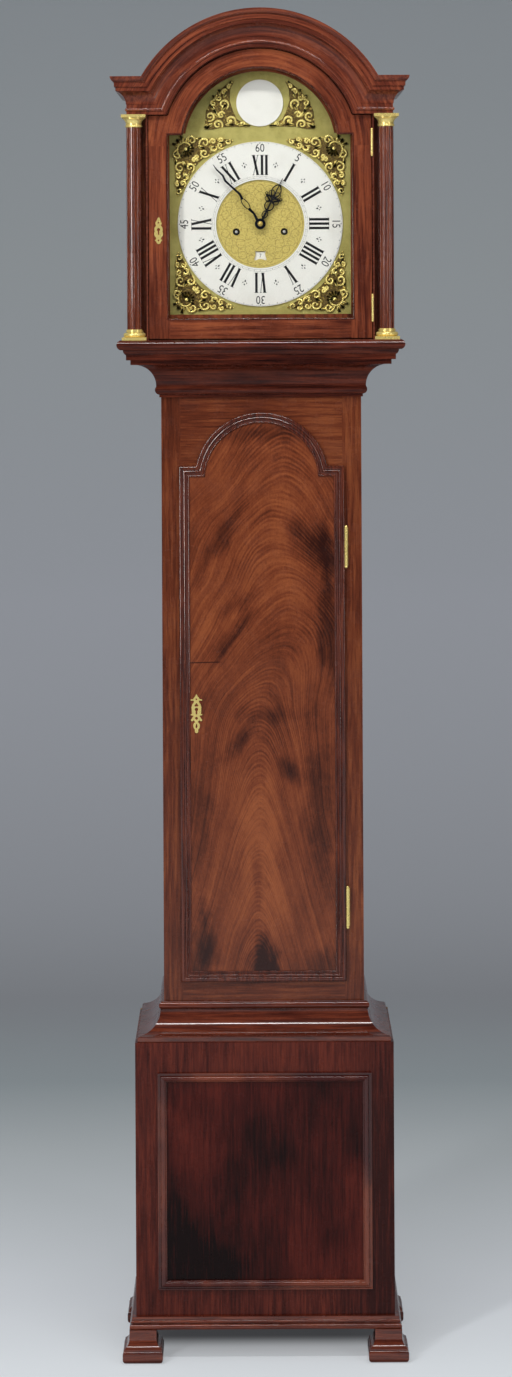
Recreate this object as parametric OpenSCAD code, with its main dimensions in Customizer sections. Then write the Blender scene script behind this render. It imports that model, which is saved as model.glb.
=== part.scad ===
// Longcase clock: mahogany case, sliding hood, arched brass dial, eight-day movement.
// X runs across the front, -Y faces the room, Z is up. The origin is on the floor at the
// centre of the clock's outline.

/* [Case] */
// How far the trunk's sides are set in from the base's
trunk_inset = 47; // [44:1:52]
// Depth of the trunk
trunk_d = 190; // [186:1:200]
// Half width of the base and of the hood
base_hw = 214; // [211:1:217]
// Height of the base, above the feet
base_h = 472.2; // [440:1:520]
// Height of the shoulder moulding
shoulder_h = 58.5; // [58:0.5:62]
// Height of the trunk between its mouldings
trunk_h = 1008; // [990:1:1030]
// Height of the throat moulding, under the hood
throat_h = 80.5; // [80.5:0.5:84]
// Thickness of the case boards
board_t = 18; // [16:1:20]
// Thickness of the backboard
back_t = 12; // [10:1:14]

/* [Feet] */
// Height of a foot
foot_h = 52.8; // [50:0.1:56]
// Width of a foot's pad
foot_w = 66; // [62:1:70]
// Width of a foot's neck
foot_neck_w = 44.5; // [42:0.5:47]
// Height of a foot's pad
foot_pad_h = 21; // [18:1:22]
// Radius of the hollow between pad and neck
foot_hollow_r = 18; // [16:1:19]
// Distance from the centre to a foot, across
foot_x = 203; // [200:1:206]
// Distance from the base's front to a front foot's centre
foot_in = 12.2; // [10:0.1:16]

/* [Plinth and base panel] */
// Height of the plinth moulding
plinth_h = 20.7; // [20:0.1:22]
// Projection of the plinth moulding
plinth_out = 11; // [10:0.5:12]
// Half width of the panel moulding, outside
panel_hw = 177; // [170:1:182]
// Width of the panel moulding
panel_edge_w = 14.8; // [13:0.1:17]
// Projection of the panel moulding
panel_edge_out = 8; // [6:0.5:9]
// Height of the panel moulding, outside
panel_h = 357.6; // [340:1:370]
// Height of the panel's lower edge above the feet
panel_rise = 64.9; // [60:1:70]
// Lap of the panel moulding over the panel
panel_lap = 5; // [4:0.5:6]

/* [Trunk door] */
// Width of the trunk's front beside the door's lip
tdoor_side = 29; // [27:1:33]
// Height of the door's lower edge above the shoulder moulding
tdoor_rise = 32.5; // [28:1:36]
// Height of the trunk's front above the door's shoulders
tdoor_head = 115.5; // [114:0.5:125]
// Radius of the door's arch
tdoor_r = 112.3; // [108:0.1:114]
// Depth of the arch's centre below the shoulders
tdoor_drop = 22.6; // [20:0.1:25]
// Overlap of the lip on the frame
tdoor_lip = 10; // [9:0.5:11]
// Thickness of the lip
tdoor_lip_t = 3; // [2.5:0.5:4]
// Width of the moulded edge
tdoor_edge_w = 17.5; // [16:0.5:19]
// Height of the moulded edge above the lip
tdoor_edge_out = 4; // [3:0.5:5]
// Clearance round the door's board in its frame
tdoor_gap = 3; // [2.5:0.1:4]

/* [Hood] */
// Height of the moulding under the hood
hood_base_h = 16; // [16:0.5:18]
// Height from the hood's lower edge to its cornice
hood_h = 389; // [385:1:393]
// Width of the hood's base rail, inside its face
hood_rail_w = 43; // [41:0.5:43.5]
// Thickness of the hood's sides
hood_side_t = 20; // [16:1:20]
// Thickness of the hood's front board
hood_front_t = 22; // [21:0.5:24]
// Thickness of the mask behind the hood door
mask_t = 10; // [8:1:11]
// Thickness of the hood's roof
roof_t = 8; // [6:1:10]
// Height of the cornice
cornice_h = 62; // [61:0.5:64]
// Inner radius of the arched cornice
arch_r = 163.8; // [163.5:0.1:166]
// Depth of the arch's centre below the cornice
arch_drop = 51.8; // [50:0.1:53]

/* [Hood door] */
// Distance from the hood door's side to the hood's
hdoor_inset = 29.5; // [29:0.1:31]
// Gap round the hood door
hdoor_gap = 1.5; // [1.4:0.1:1.8]
// Radius of the door's arch
hdoor_r = 160.5; // [158:0.1:161]
// Thickness of the door
hdoor_t = 19.5; // [17:0.1:19.5]
// Width of the door's stiles and of its lower rail
hdoor_stile = 32; // [29:0.5:33]
// Width of the wood round the arch
hdoor_arch_w = 31.5; // [29:0.5:33]
// Depth of the rebate for the glass, across
hdoor_rebate = 5; // [3:0.5:7]
// Thickness of the glass
glass_t = 3; // [2:0.5:4]

/* [Columns] */
// How far a column's axis is set in from the hood's side
column_inset = 5; // [4:0.1:5.5]
// Diameter of a column's shaft
column_d = 24.5; // [23:0.5:26]
// Number of flutes
column_flutes = 12; // [8:1:14]
// Radius of a flute
column_flute_r = 2; // [1.5:0.1:2.3]
// Width of the square plates of base and capital
column_plate_w = 40.6; // [38:0.1:40.8]
// Thickness of the square plates
column_plate_t = 5; // [4:0.5:6]
// Height of the turned base
column_base_h = 13; // [12:0.5:16]
// Height of the capital's bell
capital_h = 16; // [14:0.5:20]

/* [Dial] */
// Half width of the dial plate
dial_hw = 152.5; // [150:0.5:153]
// Height of the dial's lower edge above the hood's lower edge
dial_rise = 55.7; // [55:0.1:57]
// Radius of the dial's arch
dial_arch_r = 128; // [125:1:129]
// Thickness of the dial plate
dial_t = 2.5; // [2:0.1:3]
// Outer diameter of the chapter ring
chapter_d = 275; // [270:1:280]
// Inner diameter of the chapter ring
chapter_in_d = 147.5; // [144:1:150]
// Thickness of the chapter ring and of the arch's disc
chapter_t = 2.2; // [1.5:0.1:2.5]
// Diameter of the disc in the arch
boss_d = 78; // [70:1:80]
// Height of the disc above the arch's centre
boss_rise = 74; // [70:1:76]
// Diameter of a winding hole
wind_hole_d = 10; // [9:0.5:11]
// Width of the date window
date_w = 20; // [16:1:22]
// Height of the date window
date_h = 15; // [12:1:17]
// Distance from the dial's centre down to the date window
date_drop = 53; // [51.5:0.5:55]

/* [Movement] */
// Half width of the movement's plates
plate_hw = 65; // [63:1:68]
// Thickness of a movement plate
plate_t = 3; // [2.5:0.5:3.5]
// Height of the plates below the dial's centre
plate_down = 92; // [91:1:94]
// Height of the plates above the dial's centre
plate_up = 80; // [78:1:84]
// Distance between the plates
plate_gap = 62.5; // [62.5:0.5:66]
// Radius of a pillar
pillar_r = 4.5; // [4:0.5:5]
// Sideways distance from the centre to a winding arbor
wind_x = 40; // [39.5:0.1:40.5]
// Depth of a winding arbor below the dial's centre
wind_drop = 13; // [12.5:0.1:13.5]
// Radius of an arbor
arbor_r = 1.8; // [1.5:0.1:2]
// Radius of a pivot
pivot_r = 1; // [0.9:0.1:1.2]
// Clearance round a pivot
pivot_fit = 0.05; // [0.03:0.01:0.1]
// Thickness of a train wheel
wheel_t = 1.8; // [1.4:0.1:2]
// Radius of a barrel under its line
barrel_r = 20.8; // [20:0.1:21]
// Radius of a gut line
line_r = 1; // [0.8:0.1:1.1]
// Diameter of the bell
bell_d = 100; // [90:1:104]

/* [Weights and pendulum] */
// Diameter of a weight
weight_d = 56; // [50:1:60]
// Length of a weight
weight_h = 220; // [200:5:230]
// Height of a pulley's axle when its weight has run down
pulley_z = 690; // [680:1:720]
// How far a weight rises when it is wound
weight_travel = 1040; // [1000:10:1045]
// Diameter of the pendulum's bob
bob_d = 115; // [100:1:120]
// Thickness of the pendulum's bob
bob_t = 24; // [18:1:28]
// Length from the suspension to the bob's centre
pendulum_l = 994; // [985:1:1005]

/* [Hidden] */
$fn = 48;
// A small overlap that keeps cutting shapes clear of the faces they cut
cut = 1;
// Glue line where the arched cornice meets the straight one
glue_joint = 0.1;
// Colours of the materials, as the photograph shows them
mahogany = [0.38, 0.16, 0.09];
flame = [0.48, 0.24, 0.12];
brass = [0.78, 0.66, 0.33];
silvered = [0.90, 0.90, 0.88];
blued = [0.10, 0.11, 0.20];
steel = [0.55, 0.56, 0.58];
lead = [0.42, 0.42, 0.44];

// Heights above the floor
z_base = foot_h;
z_shoulder = z_base + base_h;
z_trunk = z_shoulder + shoulder_h;
z_throat = z_trunk + trunk_h;
z_hood = z_throat + throat_h;
z_hood_floor = z_hood + hood_base_h;
z_cornice = z_hood + hood_h;
z_arch = z_cornice - arch_drop;
// Depths: the moulded cornice is as far in front as the back is behind
cornice_out = 32.6;
trunk_hw = base_hw - trunk_inset;
tdoor_hw = trunk_hw - tdoor_side;
tdoor_h = trunk_h - tdoor_rise - tdoor_head;
hdoor_hw = base_hw - hdoor_inset;
column_x = base_hw - column_inset;
hood_out = base_hw - trunk_hw;
y_back = (trunk_d + hood_out + cornice_out) / 2;
y_board = y_back - back_t;
y_trunk = y_back - trunk_d;
y_front = y_trunk - hood_out;
y_mask = y_front + hood_front_t;
y_dial = y_trunk - 4.8;
y_plate = y_trunk + 29.7;
y_rear = y_plate + plate_gap;
y_pendulum = y_rear + 23;
// Dial and train, measured from the dial's centre
z_dial = z_hood + dial_rise;
z_centre = z_dial + dial_hw;
z_dial_arch = z_dial + 280.3;
z_seat = z_centre - plate_down;
seat_t = 20;
wind_reach = sqrt(wind_x * wind_x + wind_drop * wind_drop);

// Mouldings: a profile has its first axis outward from a face and its second upward

// A profile run round the front and both sides of a box, mitred at the corners
module mitred_run(hw, face, reach, inset, back, floor, ceiling)
{
    intersection() {
        translate([hw + reach, face, 0])
            rotate([90, 0, -90])
                linear_extrude(2 * (hw + reach)) children();
        translate([0, 0, floor])
            linear_extrude(ceiling - floor)
                polygon([
                    [-hw - reach, face - reach], [hw + reach, face - reach],
                    [hw - inset, face + inset], [-hw + inset, face + inset]
                ]);
    }
    for (side = [0, 1])
        mirror([side, 0, 0])
            side_run(hw, face, reach, inset, back, floor, ceiling) children();
}

// One side of such a run
module side_run(hw, face, reach, inset, back, floor, ceiling)
{
    intersection() {
        translate([hw, back, 0])
            rotate([90, 0, 0])
                linear_extrude(back - face + reach) children();
        translate([0, 0, floor])
            linear_extrude(ceiling - floor)
                polygon([
                    [hw - inset, face + inset], [hw + reach, face - reach],
                    [hw + reach, back], [hw - inset, back]
                ]);
    }
}

// A profile run round a rectangle on a front face, mitred; first axis inward from the edge
module ring_run(hw, low, high, w, face, out)
{
    for (side = [0, 1])
        mirror([side, 0, 0])
            intersection() {
                translate([-hw, face, high])
                    rotate([180, 0, 0])
                        linear_extrude(high - low) children();
                front_prism(face, out)
                    polygon([[-hw, low], [-hw + w, low + w], [-hw + w, high - w], [-hw, high]]);
            }
    for (side = [0, 1])
        translate([0, 0, side * (low + high)])
            mirror([0, 0, side])
                intersection() {
                    translate([-hw, face, low])
                        rotate([180, -90, 0])
                            linear_extrude(2 * hw) children();
                    front_prism(face, out)
                        polygon([[-hw, low], [hw, low], [hw - w, low + w], [-hw + w, low + w]]);
                }
}

// A shape drawn as seen from the front, from a face forward by a thickness
module front_prism(face, t)
{
    translate([0, face, 0])
        rotate([90, 0, 0])
            linear_extrude(t) children();
}

// A disc or rod that lies along Y, from a face back by a length
module rod_y(x, z, face, length, r)
{
    translate([x, face, z])
        rotate([-90, 0, 0])
            cylinder(h = length, r = r);
}

// A board that is square below and arched above, as seen from the front
module arched(hw, low, shoulder, r, centre)
{
    translate([-hw, low]) square([2 * hw, shoulder - low]);
    intersection() {
        translate([0, centre]) circle(r, $fn = 96);
        translate([-r, shoulder - cut]) square([2 * r, r + cut]);
    }
}

module plinth_profile()
{
    bead_r = 4.5;
    translate([plinth_out - bead_r, bead_r]) circle(bead_r);
    square([plinth_out - bead_r, 2 * bead_r]);
    square([plinth_out / 2, plinth_h]);
    translate([plinth_out / 2 + 0.5, 13]) circle(2.6);
    translate([0, 15.7]) square([plinth_out / 2 + 0.9, plinth_h - 15.7]);
}

module shoulder_profile()
{
    cove_r = 35;
    square([cove_r + 8, 8]);
    difference() {
        translate([0, 8]) square([cove_r + 6, cove_r + 1]);
        translate([cove_r + 6, cove_r + 9]) circle(cove_r, $fn = 72);
    }
    translate([0, cove_r + 9]) square([4, shoulder_h - cove_r - 9]);
    translate([2, shoulder_h - 7]) circle(6.5);
}

module throat_profile()
{
    cove_r = 36;
    square([3, 6]);
    translate([2, 12.5]) circle(8);
    translate([0, 12.5]) square([8, 7]);
    difference() {
        translate([0, 19.5]) square([cove_r + 8, cove_r]);
        translate([cove_r + 8, 19.5]) circle(cove_r, $fn = 72);
    }
    translate([0, 55.5]) square([cove_r + 13, 8]);
    translate([0, 63.5]) square([cove_r + 20, throat_h - 63.5]);
    intersection() {
        translate([cove_r + 15, throat_h]) circle(10);
        square([cove_r + 30, throat_h]);
    }
}

module cornice_profile()
{
    cove_r = 22;
    square([6.4, 17]);
    translate([5.7, 8]) circle(3);
    difference() {
        translate([0, 17]) square([cove_r + 1.7, 21.5]);
        translate([cove_r + 7.2, 17]) circle(cove_r, $fn = 72);
    }
    translate([0, 38.5]) square([cove_r + 1.7, 6.5]);
    translate([0, 45]) square([cove_r + 4, cornice_h - 45]);
    intersection() {
        translate([cornice_out - 10, cornice_h]) circle(10);
        square([cornice_out + 1, cornice_h]);
    }
}

module hood_base_profile()
{
    translate([-hood_rail_w, 0]) square([hood_rail_w + 19, hood_base_h]);
    translate([16, hood_base_h / 2]) circle(hood_base_h / 2);
}

// Case

module foot_outline()
{
    edge_r = 5;
    toe_r = 7.5;
    half = foot_w / 2;
    neck = foot_neck_w / 2;
    translate([-half, toe_r]) square([foot_w, foot_pad_h - edge_r - toe_r]);
    translate([-half + toe_r, 0]) square([foot_w - 2 * toe_r, foot_pad_h]);
    translate([-half + edge_r, toe_r]) square([foot_w - 2 * edge_r, foot_pad_h - toe_r]);
    for (side = [-1, 1]) {
        translate([side * (half - toe_r), toe_r]) circle(toe_r);
        translate([side * (half - edge_r), foot_pad_h - edge_r]) circle(edge_r);
    }
    difference() {
        translate([-half + 2, foot_pad_h - cut]) square([foot_w - 4, foot_hollow_r + cut]);
        for (side = [-1, 1])
            translate([side * (neck + foot_hollow_r), foot_pad_h + foot_hollow_r])
                circle(foot_hollow_r, $fn = 72);
    }
    translate([-neck, foot_pad_h]) square([foot_neck_w, foot_h - foot_pad_h]);
}

module foot()
{
    intersection() {
        translate([0, foot_w / 2, 0])
            rotate([90, 0, 0]) linear_extrude(foot_w) foot_outline();
        translate([foot_w / 2, 0, 0])
            rotate([90, 0, -90]) linear_extrude(foot_w) foot_outline();
    }
}

module feet()
{
    color(mahogany)
        for (x = [-foot_x, foot_x], y = [y_front + foot_in, y_back - foot_w / 2])
            translate([x, y, 0]) foot();
}

module plinth_moulding()
{
    color(mahogany)
        mitred_run(base_hw, y_front, plinth_out, 0, y_back, z_base, z_base + plinth_h)
            translate([0, z_base]) plinth_profile();
}

module base_carcase()
{
    color(mahogany) {
        for (side = [0, 1])
            mirror([side, 0, 0])
                translate([base_hw - board_t, y_front + board_t, z_base])
                    cube([board_t, y_board - y_front - board_t, base_h]);
        translate([-base_hw + board_t, y_front + board_t, z_base])
            cube([2 * (base_hw - board_t), y_board - y_front - board_t, board_t]);
        translate([-base_hw + board_t, y_front + board_t, z_shoulder - board_t])
            cube([2 * (base_hw - board_t), y_trunk - y_front, board_t]);
    }
}

module panel_opening()
{
    reach = panel_hw - panel_edge_w + panel_lap;
    low = z_base + panel_rise + panel_edge_w - panel_lap;
    translate([-reach, low]) square([2 * reach, panel_h - 2 * (panel_edge_w - panel_lap)]);
}

module base_front_frame()
{
    color(mahogany)
        front_prism(y_front + board_t, board_t)
            difference() {
                translate([-base_hw, z_base]) square([2 * base_hw, base_h]);
                panel_opening();
            }
}

// Moulded edge: a fillet outside, a round in the middle and a small bead inside
module panel_edge_profile()
{
    round_r = panel_edge_out / 2 + 0.4;
    square([panel_edge_w, 3]);
    square([1.5, 5]);
    translate([0.6 * panel_edge_w, panel_edge_out - round_r - 0.2]) circle(round_r);
    translate([panel_edge_w - 1.6, 3]) circle(1.5);
}

module base_panel()
{
    color(flame) front_prism(y_front + board_t, board_t) panel_opening();
    color(mahogany)
        ring_run(panel_hw, z_base + panel_rise, z_base + panel_rise + panel_h,
                 panel_edge_w, y_front, panel_edge_out)
            intersection() {
                panel_edge_profile();
                square([panel_edge_w, panel_edge_out]);
            }
}

module shoulder_moulding()
{
    color(mahogany)
        mitred_run(trunk_hw, y_trunk, hood_out, 0, y_back, z_shoulder, z_trunk)
            translate([0, z_shoulder]) shoulder_profile();
}

module backboard()
{
    ear_low = z_hood_floor + 1.5;
    color(mahogany)
        front_prism(y_back, back_t)
            polygon([
                [-base_hw, z_base], [base_hw, z_base], [base_hw, z_shoulder],
                [trunk_hw, z_shoulder], [trunk_hw, ear_low], [base_hw - 26, ear_low],
                [base_hw - 26, z_arch], [-base_hw + 26, z_arch], [-base_hw + 26, ear_low],
                [-trunk_hw, ear_low], [-trunk_hw, z_shoulder], [-base_hw, z_shoulder]
            ]);
}

module trunk_sides()
{
    color(mahogany)
        for (side = [0, 1])
            mirror([side, 0, 0])
                translate([trunk_hw - board_t, y_trunk + board_t, z_shoulder - 3 * board_t])
                    cube([board_t, y_board - y_trunk - board_t,
                          z_seat - seat_t - z_shoulder + 3 * board_t]);
}

// The trunk door's outline, drawn in from its edge by a distance
module tdoor_outline(inset)
{
    low = z_trunk + tdoor_rise;
    shoulder = low + tdoor_h;
    arched(tdoor_hw - inset, low + inset, shoulder - inset, tdoor_r - inset,
           shoulder - tdoor_drop);
}

module trunk_front_frame()
{
    color(mahogany)
        front_prism(y_trunk + board_t, board_t)
            difference() {
                translate([-trunk_hw, z_shoulder])
                    square([2 * trunk_hw, z_hood - z_shoulder]);
                tdoor_outline(tdoor_lip);
            }
}

module throat_moulding()
{
    color(mahogany)
        mitred_run(trunk_hw, y_trunk, 61, 0, y_back, z_throat, z_hood)
            translate([0, z_throat]) throat_profile();
}

// Trunk door

thinge_x = tdoor_hw + 2.5;
thinge_y = y_trunk - 5.8;
thinge_r = 2.5;
thinge_h = 63;
thinge_levels = [z_trunk + 124, z_trunk + 726];
y_lip = y_trunk - 0.3 - tdoor_lip_t;

module trunk_door_board()
{
    color(flame) {
        front_prism(y_trunk - 0.3, tdoor_lip_t) tdoor_outline(0);
        front_prism(y_trunk + board_t - 0.3, board_t) tdoor_outline(tdoor_lip + tdoor_gap);
    }
}

// Two steps of the moulded edge; the outer step is the higher one
module trunk_door_moulding()
{
    color(mahogany) {
        front_prism(y_lip, tdoor_edge_out / 2)
            difference() {
                tdoor_outline(0);
                tdoor_outline(tdoor_edge_w);
            }
        front_prism(y_lip - tdoor_edge_out / 2, tdoor_edge_out / 2)
            difference() {
                tdoor_outline(0.8);
                tdoor_outline(tdoor_edge_w - 6);
            }
    }
}

// A barrel of three knuckles; the fixed part is the outer two, with the pin and finials
module knuckles(x, y, low, h, r, fixed)
{
    mid = h / 3;
    gap = 0.3;
    translate([x, y, low])
        if (fixed) {
            for (level = [0, h - mid]) translate([0, 0, level]) cylinder(h = mid, r = r);
            cylinder(h = h, r = r / 2);
            for (level = [-r * 0.7, h + r * 0.7]) translate([0, 0, level]) sphere(r);
        } else {
            difference() {
                translate([0, 0, mid + gap]) cylinder(h = mid - 2 * gap, r = r);
                cylinder(h = h, r = r / 2 + 0.05);
            }
        }
}

module trunk_hinge_leaves()
{
    mid = thinge_h / 3;
    color(brass)
        for (low = thinge_levels) {
            knuckles(thinge_x, thinge_y, low, thinge_h, thinge_r, true);
            for (level = [0, thinge_h - mid])
                translate([thinge_x + 1, thinge_y, low + level])
                    cube([1.4, y_trunk - thinge_y, mid]);
            translate([thinge_x + 1, y_trunk - 1, low]) cube([2.4, 1, thinge_h]);
        }
}

module trunk_door_brasses()
{
    mid = thinge_h / 3;
    color(brass) {
        for (low = thinge_levels) {
            knuckles(thinge_x, thinge_y, low, thinge_h, thinge_r, false);
            translate([tdoor_hw, thinge_y + 0.3, low + mid + 0.3])
                difference() {
                    cube([1.6, 1.4, mid - 0.6]);
                    translate([thinge_x - tdoor_hw, -0.3, -cut])
                        cylinder(h = mid + 2 * cut, r = thinge_r / 2 + 0.05);
                }
        }
        front_prism(y_lip, 1.5)
            translate([-tdoor_hw + 27.5, z_trunk + tdoor_rise + 0.52 * tdoor_h])
                trunk_escutcheon_outline();
    }
}

module keyhole(r, drop)
{
    circle(r);
    translate([-r * 0.45, -drop]) square([r * 0.9, drop]);
}

// Pierced plate: ogee finial, two cross bars, keyhole, flared skirt, ring and drop
module trunk_escutcheon_outline()
{
    difference() {
        union() {
            bar([0, 31], [0, 23.6], 1.2, 5.2);
            for (side = [-1, 1]) {
                bar([0, 23.4], [side * 8.6, 23], 1.6, 1.1);
                bar([side * 1.6, 19.5], [side * 5.2, 14.6], 2.2, 2);
                bar([side * 5.2, 14.6], [side * 5.5, 10.5], 2, 2.8);
                bar([side * 5.5, 10.5], [side * 5.2, 1.5], 2.8, 2.6);
                bar([0, -2.4], [side * 8.7, -1.6], 1.9, 1.1);
                bar([side * 2.6, -5.5], [side * 7.5, -10.6], 3, 1.9);
            }
            translate([-5.4, -1.8]) square([10.8, 14]);
            bar([0, -4], [0, -8.4], 4, 5.2);
            translate([-2.7, -17]) square([5.4, 6]);
            bar([0, -19.4], [0, -21.6], 5.6, 5.2);
            bar([0, -25.6], [0, -29.4], 3.3, 2.9);
        }
        translate([0, 24.2]) circle(1.3);
        translate([0, 7.2]) keyhole(2.8, 8.2);
        translate([0, -7.6]) circle(2.3);
        bar([0, -18.4], [0, -22], 1.1, 1.8);
    }
}

// Hood

hdoor_low = z_hood_floor + 2;
hdoor_shoulder = z_cornice - hdoor_gap;
y_hdoor = y_front + 2;
roof_r = arch_r + cornice_h - 6;
z_roof = z_cornice + cornice_h - roof_t;
column_y = y_front + 1.3;

module hood_sides()
{
    color(mahogany)
        for (side = [0, 1])
            mirror([side, 0, 0])
                translate([base_hw - hood_side_t, y_mask + 1.2, z_hood_floor])
                    cube([hood_side_t, y_back - y_mask - 1.2, z_roof - z_hood_floor]);
}

module hood_base_moulding()
{
    color(mahogany)
        mitred_run(base_hw, y_front, 24, hood_rail_w, y_back, z_hood, z_hood_floor)
            translate([0, z_hood]) hood_base_profile();
}

module hood_front_board()
{
    strip_hw = column_x - column_plate_w / 2;
    color(mahogany)
        front_prism(y_mask, hood_front_t)
            difference() {
                union() {
                    translate([-strip_hw, z_hood_floor])
                        square([2 * strip_hw, z_cornice - z_hood_floor]);
                    arched(base_hw, z_cornice, z_cornice + cornice_h, roof_r, z_arch);
                }
                arched(hdoor_hw + hdoor_gap, z_hood_floor - cut, z_cornice,
                       hdoor_r + hdoor_gap, z_arch);
            }
}

// The region of the front where the arched cornice takes over from the straight one.
// Its sides follow the mitre: equal heights above the straight and the arched lower edge.
module arch_region(joint)
{
    steps = 8;
    mitre = [
        for (i = [0 : steps])
            let (h = cornice_h * i / steps, r = arch_r + h, dz = arch_drop + h)
                [sqrt(r * r - dz * dz) - joint, z_cornice + h]
    ];
    above = z_arch + arch_r + 2 * cornice_h;
    polygon(concat(
        [[mitre[0][0], z_cornice - 9]], mitre, [[mitre[steps][0], above]],
        [[-mitre[steps][0], above]], [for (i = [steps : -1 : 0]) [-mitre[i][0], mitre[i][1]]],
        [[-mitre[0][0], z_cornice - 9]]
    ));
}

module hood_cornice()
{
    color(mahogany) {
        difference() {
            mitred_run(base_hw, y_front, cornice_out, 0, y_back, z_cornice,
                       z_cornice + cornice_h)
                translate([0, z_cornice]) cornice_profile();
            front_prism(y_front + cut, cornice_out + 2 * cut) arch_region(0);
        }
        intersection() {
            translate([0, y_front, z_arch])
                rotate([90, 0, 0])
                    rotate_extrude(angle = 180, $fn = 144)
                        translate([arch_r, 0]) mirror([1, -1, 0]) cornice_profile();
            front_prism(y_front + cut, cornice_out + 2 * cut) arch_region(glue_joint);
        }
    }
}

module hood_roof()
{
    color(mahogany)
        front_prism(y_back, y_back - y_mask)
            difference() {
                union() {
                    translate([-base_hw, z_roof]) square([2 * base_hw, roof_t]);
                    translate([0, z_arch]) circle(roof_r, $fn = 144);
                }
                translate([0, z_arch]) circle(roof_r - roof_t, $fn = 144);
                translate([-2 * base_hw, 0]) square([4 * base_hw, z_roof]);
            }
}

module hood_columns()
{
    low = z_hood_floor + column_plate_t + column_base_h;
    high = z_cornice - column_plate_t - capital_h;
    color(mahogany)
        for (x = [-column_x, column_x])
            translate([x, column_y, low])
                linear_extrude(high - low)
                    difference() {
                        circle(column_d / 2);
                        for (i = [1 : column_flutes])
                            rotate(i * 360 / column_flutes)
                                translate([column_d / 2 + 0.6, 0])
                                    circle(column_flute_r, $fn = 24);
                    }
}

// Turned and square brass bases and capitals of the columns
module column_brasses()
{
    shaft_r = column_d / 2;
    color(brass)
        for (x = [-column_x, column_x])
            translate([x, column_y, 0]) {
                translate([-column_plate_w / 2, -column_plate_w / 2, z_hood_floor])
                    cube([column_plate_w, column_plate_w, column_plate_t]);
                translate([0, 0, z_hood_floor + column_plate_t])
                    rotate_extrude() base_profile(shaft_r);
                translate([0, 0, z_cornice - column_plate_t - capital_h])
                    rotate_extrude() capital_profile(shaft_r);
                translate([-column_plate_w / 2, -column_plate_w / 2, z_cornice - column_plate_t])
                    cube([column_plate_w, column_plate_w, column_plate_t]);
            }
}

module base_profile(shaft_r)
{
    square([shaft_r + 0.6, column_base_h]);
    square([shaft_r + 2.2, 7.5]);
    intersection() {
        translate([shaft_r + 2.2, 3.7]) circle(4);
        square([shaft_r + 8, 8]);
    }
    translate([0, 8.5]) square([shaft_r + 2, 2.5]);
}

module capital_profile(shaft_r)
{
    flare_r = capital_h - 5;
    square([shaft_r + 0.6, capital_h]);
    translate([shaft_r, 2]) circle(1.8);
    difference() {
        translate([0, 5]) square([shaft_r + 6.5, flare_r]);
        translate([shaft_r + 0.4 + flare_r, 4.6]) circle(flare_r);
    }
}

module hood_mask()
{
    inner = base_hw - hood_side_t;
    color(mahogany)
        front_prism(y_mask + mask_t, mask_t)
            difference() {
                union() {
                    translate([-inner, z_hood_floor]) square([2 * inner, z_roof - z_hood_floor]);
                    intersection() {
                        translate([0, z_arch]) circle(roof_r - roof_t, $fn = 144);
                        translate([-inner, z_roof - cut]) square([2 * inner, 200]);
                    }
                }
                arched(dial_hw - 2, z_dial + 2, z_dial + 2 * dial_hw - 2,
                       dial_arch_r - 2, z_dial_arch);
            }
}

hhinge_r = 2;
hhinge_h = 40;
hhinge_x = hdoor_hw + hdoor_gap / 2;
hhinge_y = y_front - hhinge_r - 0.1;
hhinge_levels = [hdoor_low + 30, hdoor_low + 304];
leaf_t = 0.65;

module hood_hinge_leaves()
{
    mid = hhinge_h / 3;
    reach = hhinge_r + 0.3;
    color(brass)
        for (low = hhinge_levels) {
            knuckles(hhinge_x, hhinge_y, low, hhinge_h, hhinge_r, true);
            for (level = [0, hhinge_h - mid])
                translate([hhinge_x + 0.05, hhinge_y, low + level]) cube([leaf_t, 4, mid]);
            translate([hhinge_x + 0.05, hhinge_y + reach, low]) cube([leaf_t, 14, hhinge_h]);
        }
}

module hdoor_outline(inset)
{
    arched(hdoor_hw - inset, hdoor_low + inset, hdoor_shoulder - inset, hdoor_r - inset,
           z_arch);
}

// The glazed opening, widened by the rebate
module hdoor_opening(rebate)
{
    arched(hdoor_hw - hdoor_stile + rebate, hdoor_low + hdoor_stile + 1.6 - rebate,
           hdoor_shoulder - hdoor_stile + rebate, hdoor_r - hdoor_arch_w + rebate, z_arch);
}

module hood_door_frame()
{
    front_t = 12;
    quirk = 3;
    color(mahogany) {
        front_prism(y_hdoor + quirk, quirk)
            difference() {
                hdoor_outline(0);
                hdoor_opening(quirk);
            }
        front_prism(y_hdoor + front_t, front_t - quirk)
            difference() {
                hdoor_outline(0);
                hdoor_opening(0);
            }
        front_prism(y_hdoor + hdoor_t, hdoor_t - front_t)
            difference() {
                hdoor_outline(0);
                hdoor_opening(hdoor_rebate);
            }
    }
}

module hood_door_glass()
{
    color([0.8, 0.9, 0.9, 0.3])
        front_prism(y_hdoor + 12 + glass_t, glass_t) hdoor_opening(hdoor_rebate - 0.4);
}

module hood_door_brasses()
{
    mid = hhinge_h / 3;
    reach = hhinge_r + 0.3;
    color(brass) {
        for (low = hhinge_levels) {
            knuckles(hhinge_x, hhinge_y, low, hhinge_h, hhinge_r, false);
            translate([hhinge_x - 0.1 - leaf_t, hhinge_y + 1.15, low + mid + 0.3])
                cube([leaf_t, 4, mid - 0.6]);
            translate([hhinge_x - 0.1 - leaf_t, hhinge_y + reach, low])
                cube([leaf_t, 14, hhinge_h]);
        }
        front_prism(y_hdoor, 1.2)
            translate([-hdoor_hw + hdoor_stile / 2, z_hood + hood_h / 2 + 2.5]) hood_escutcheon_outline();
    }
}

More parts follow.
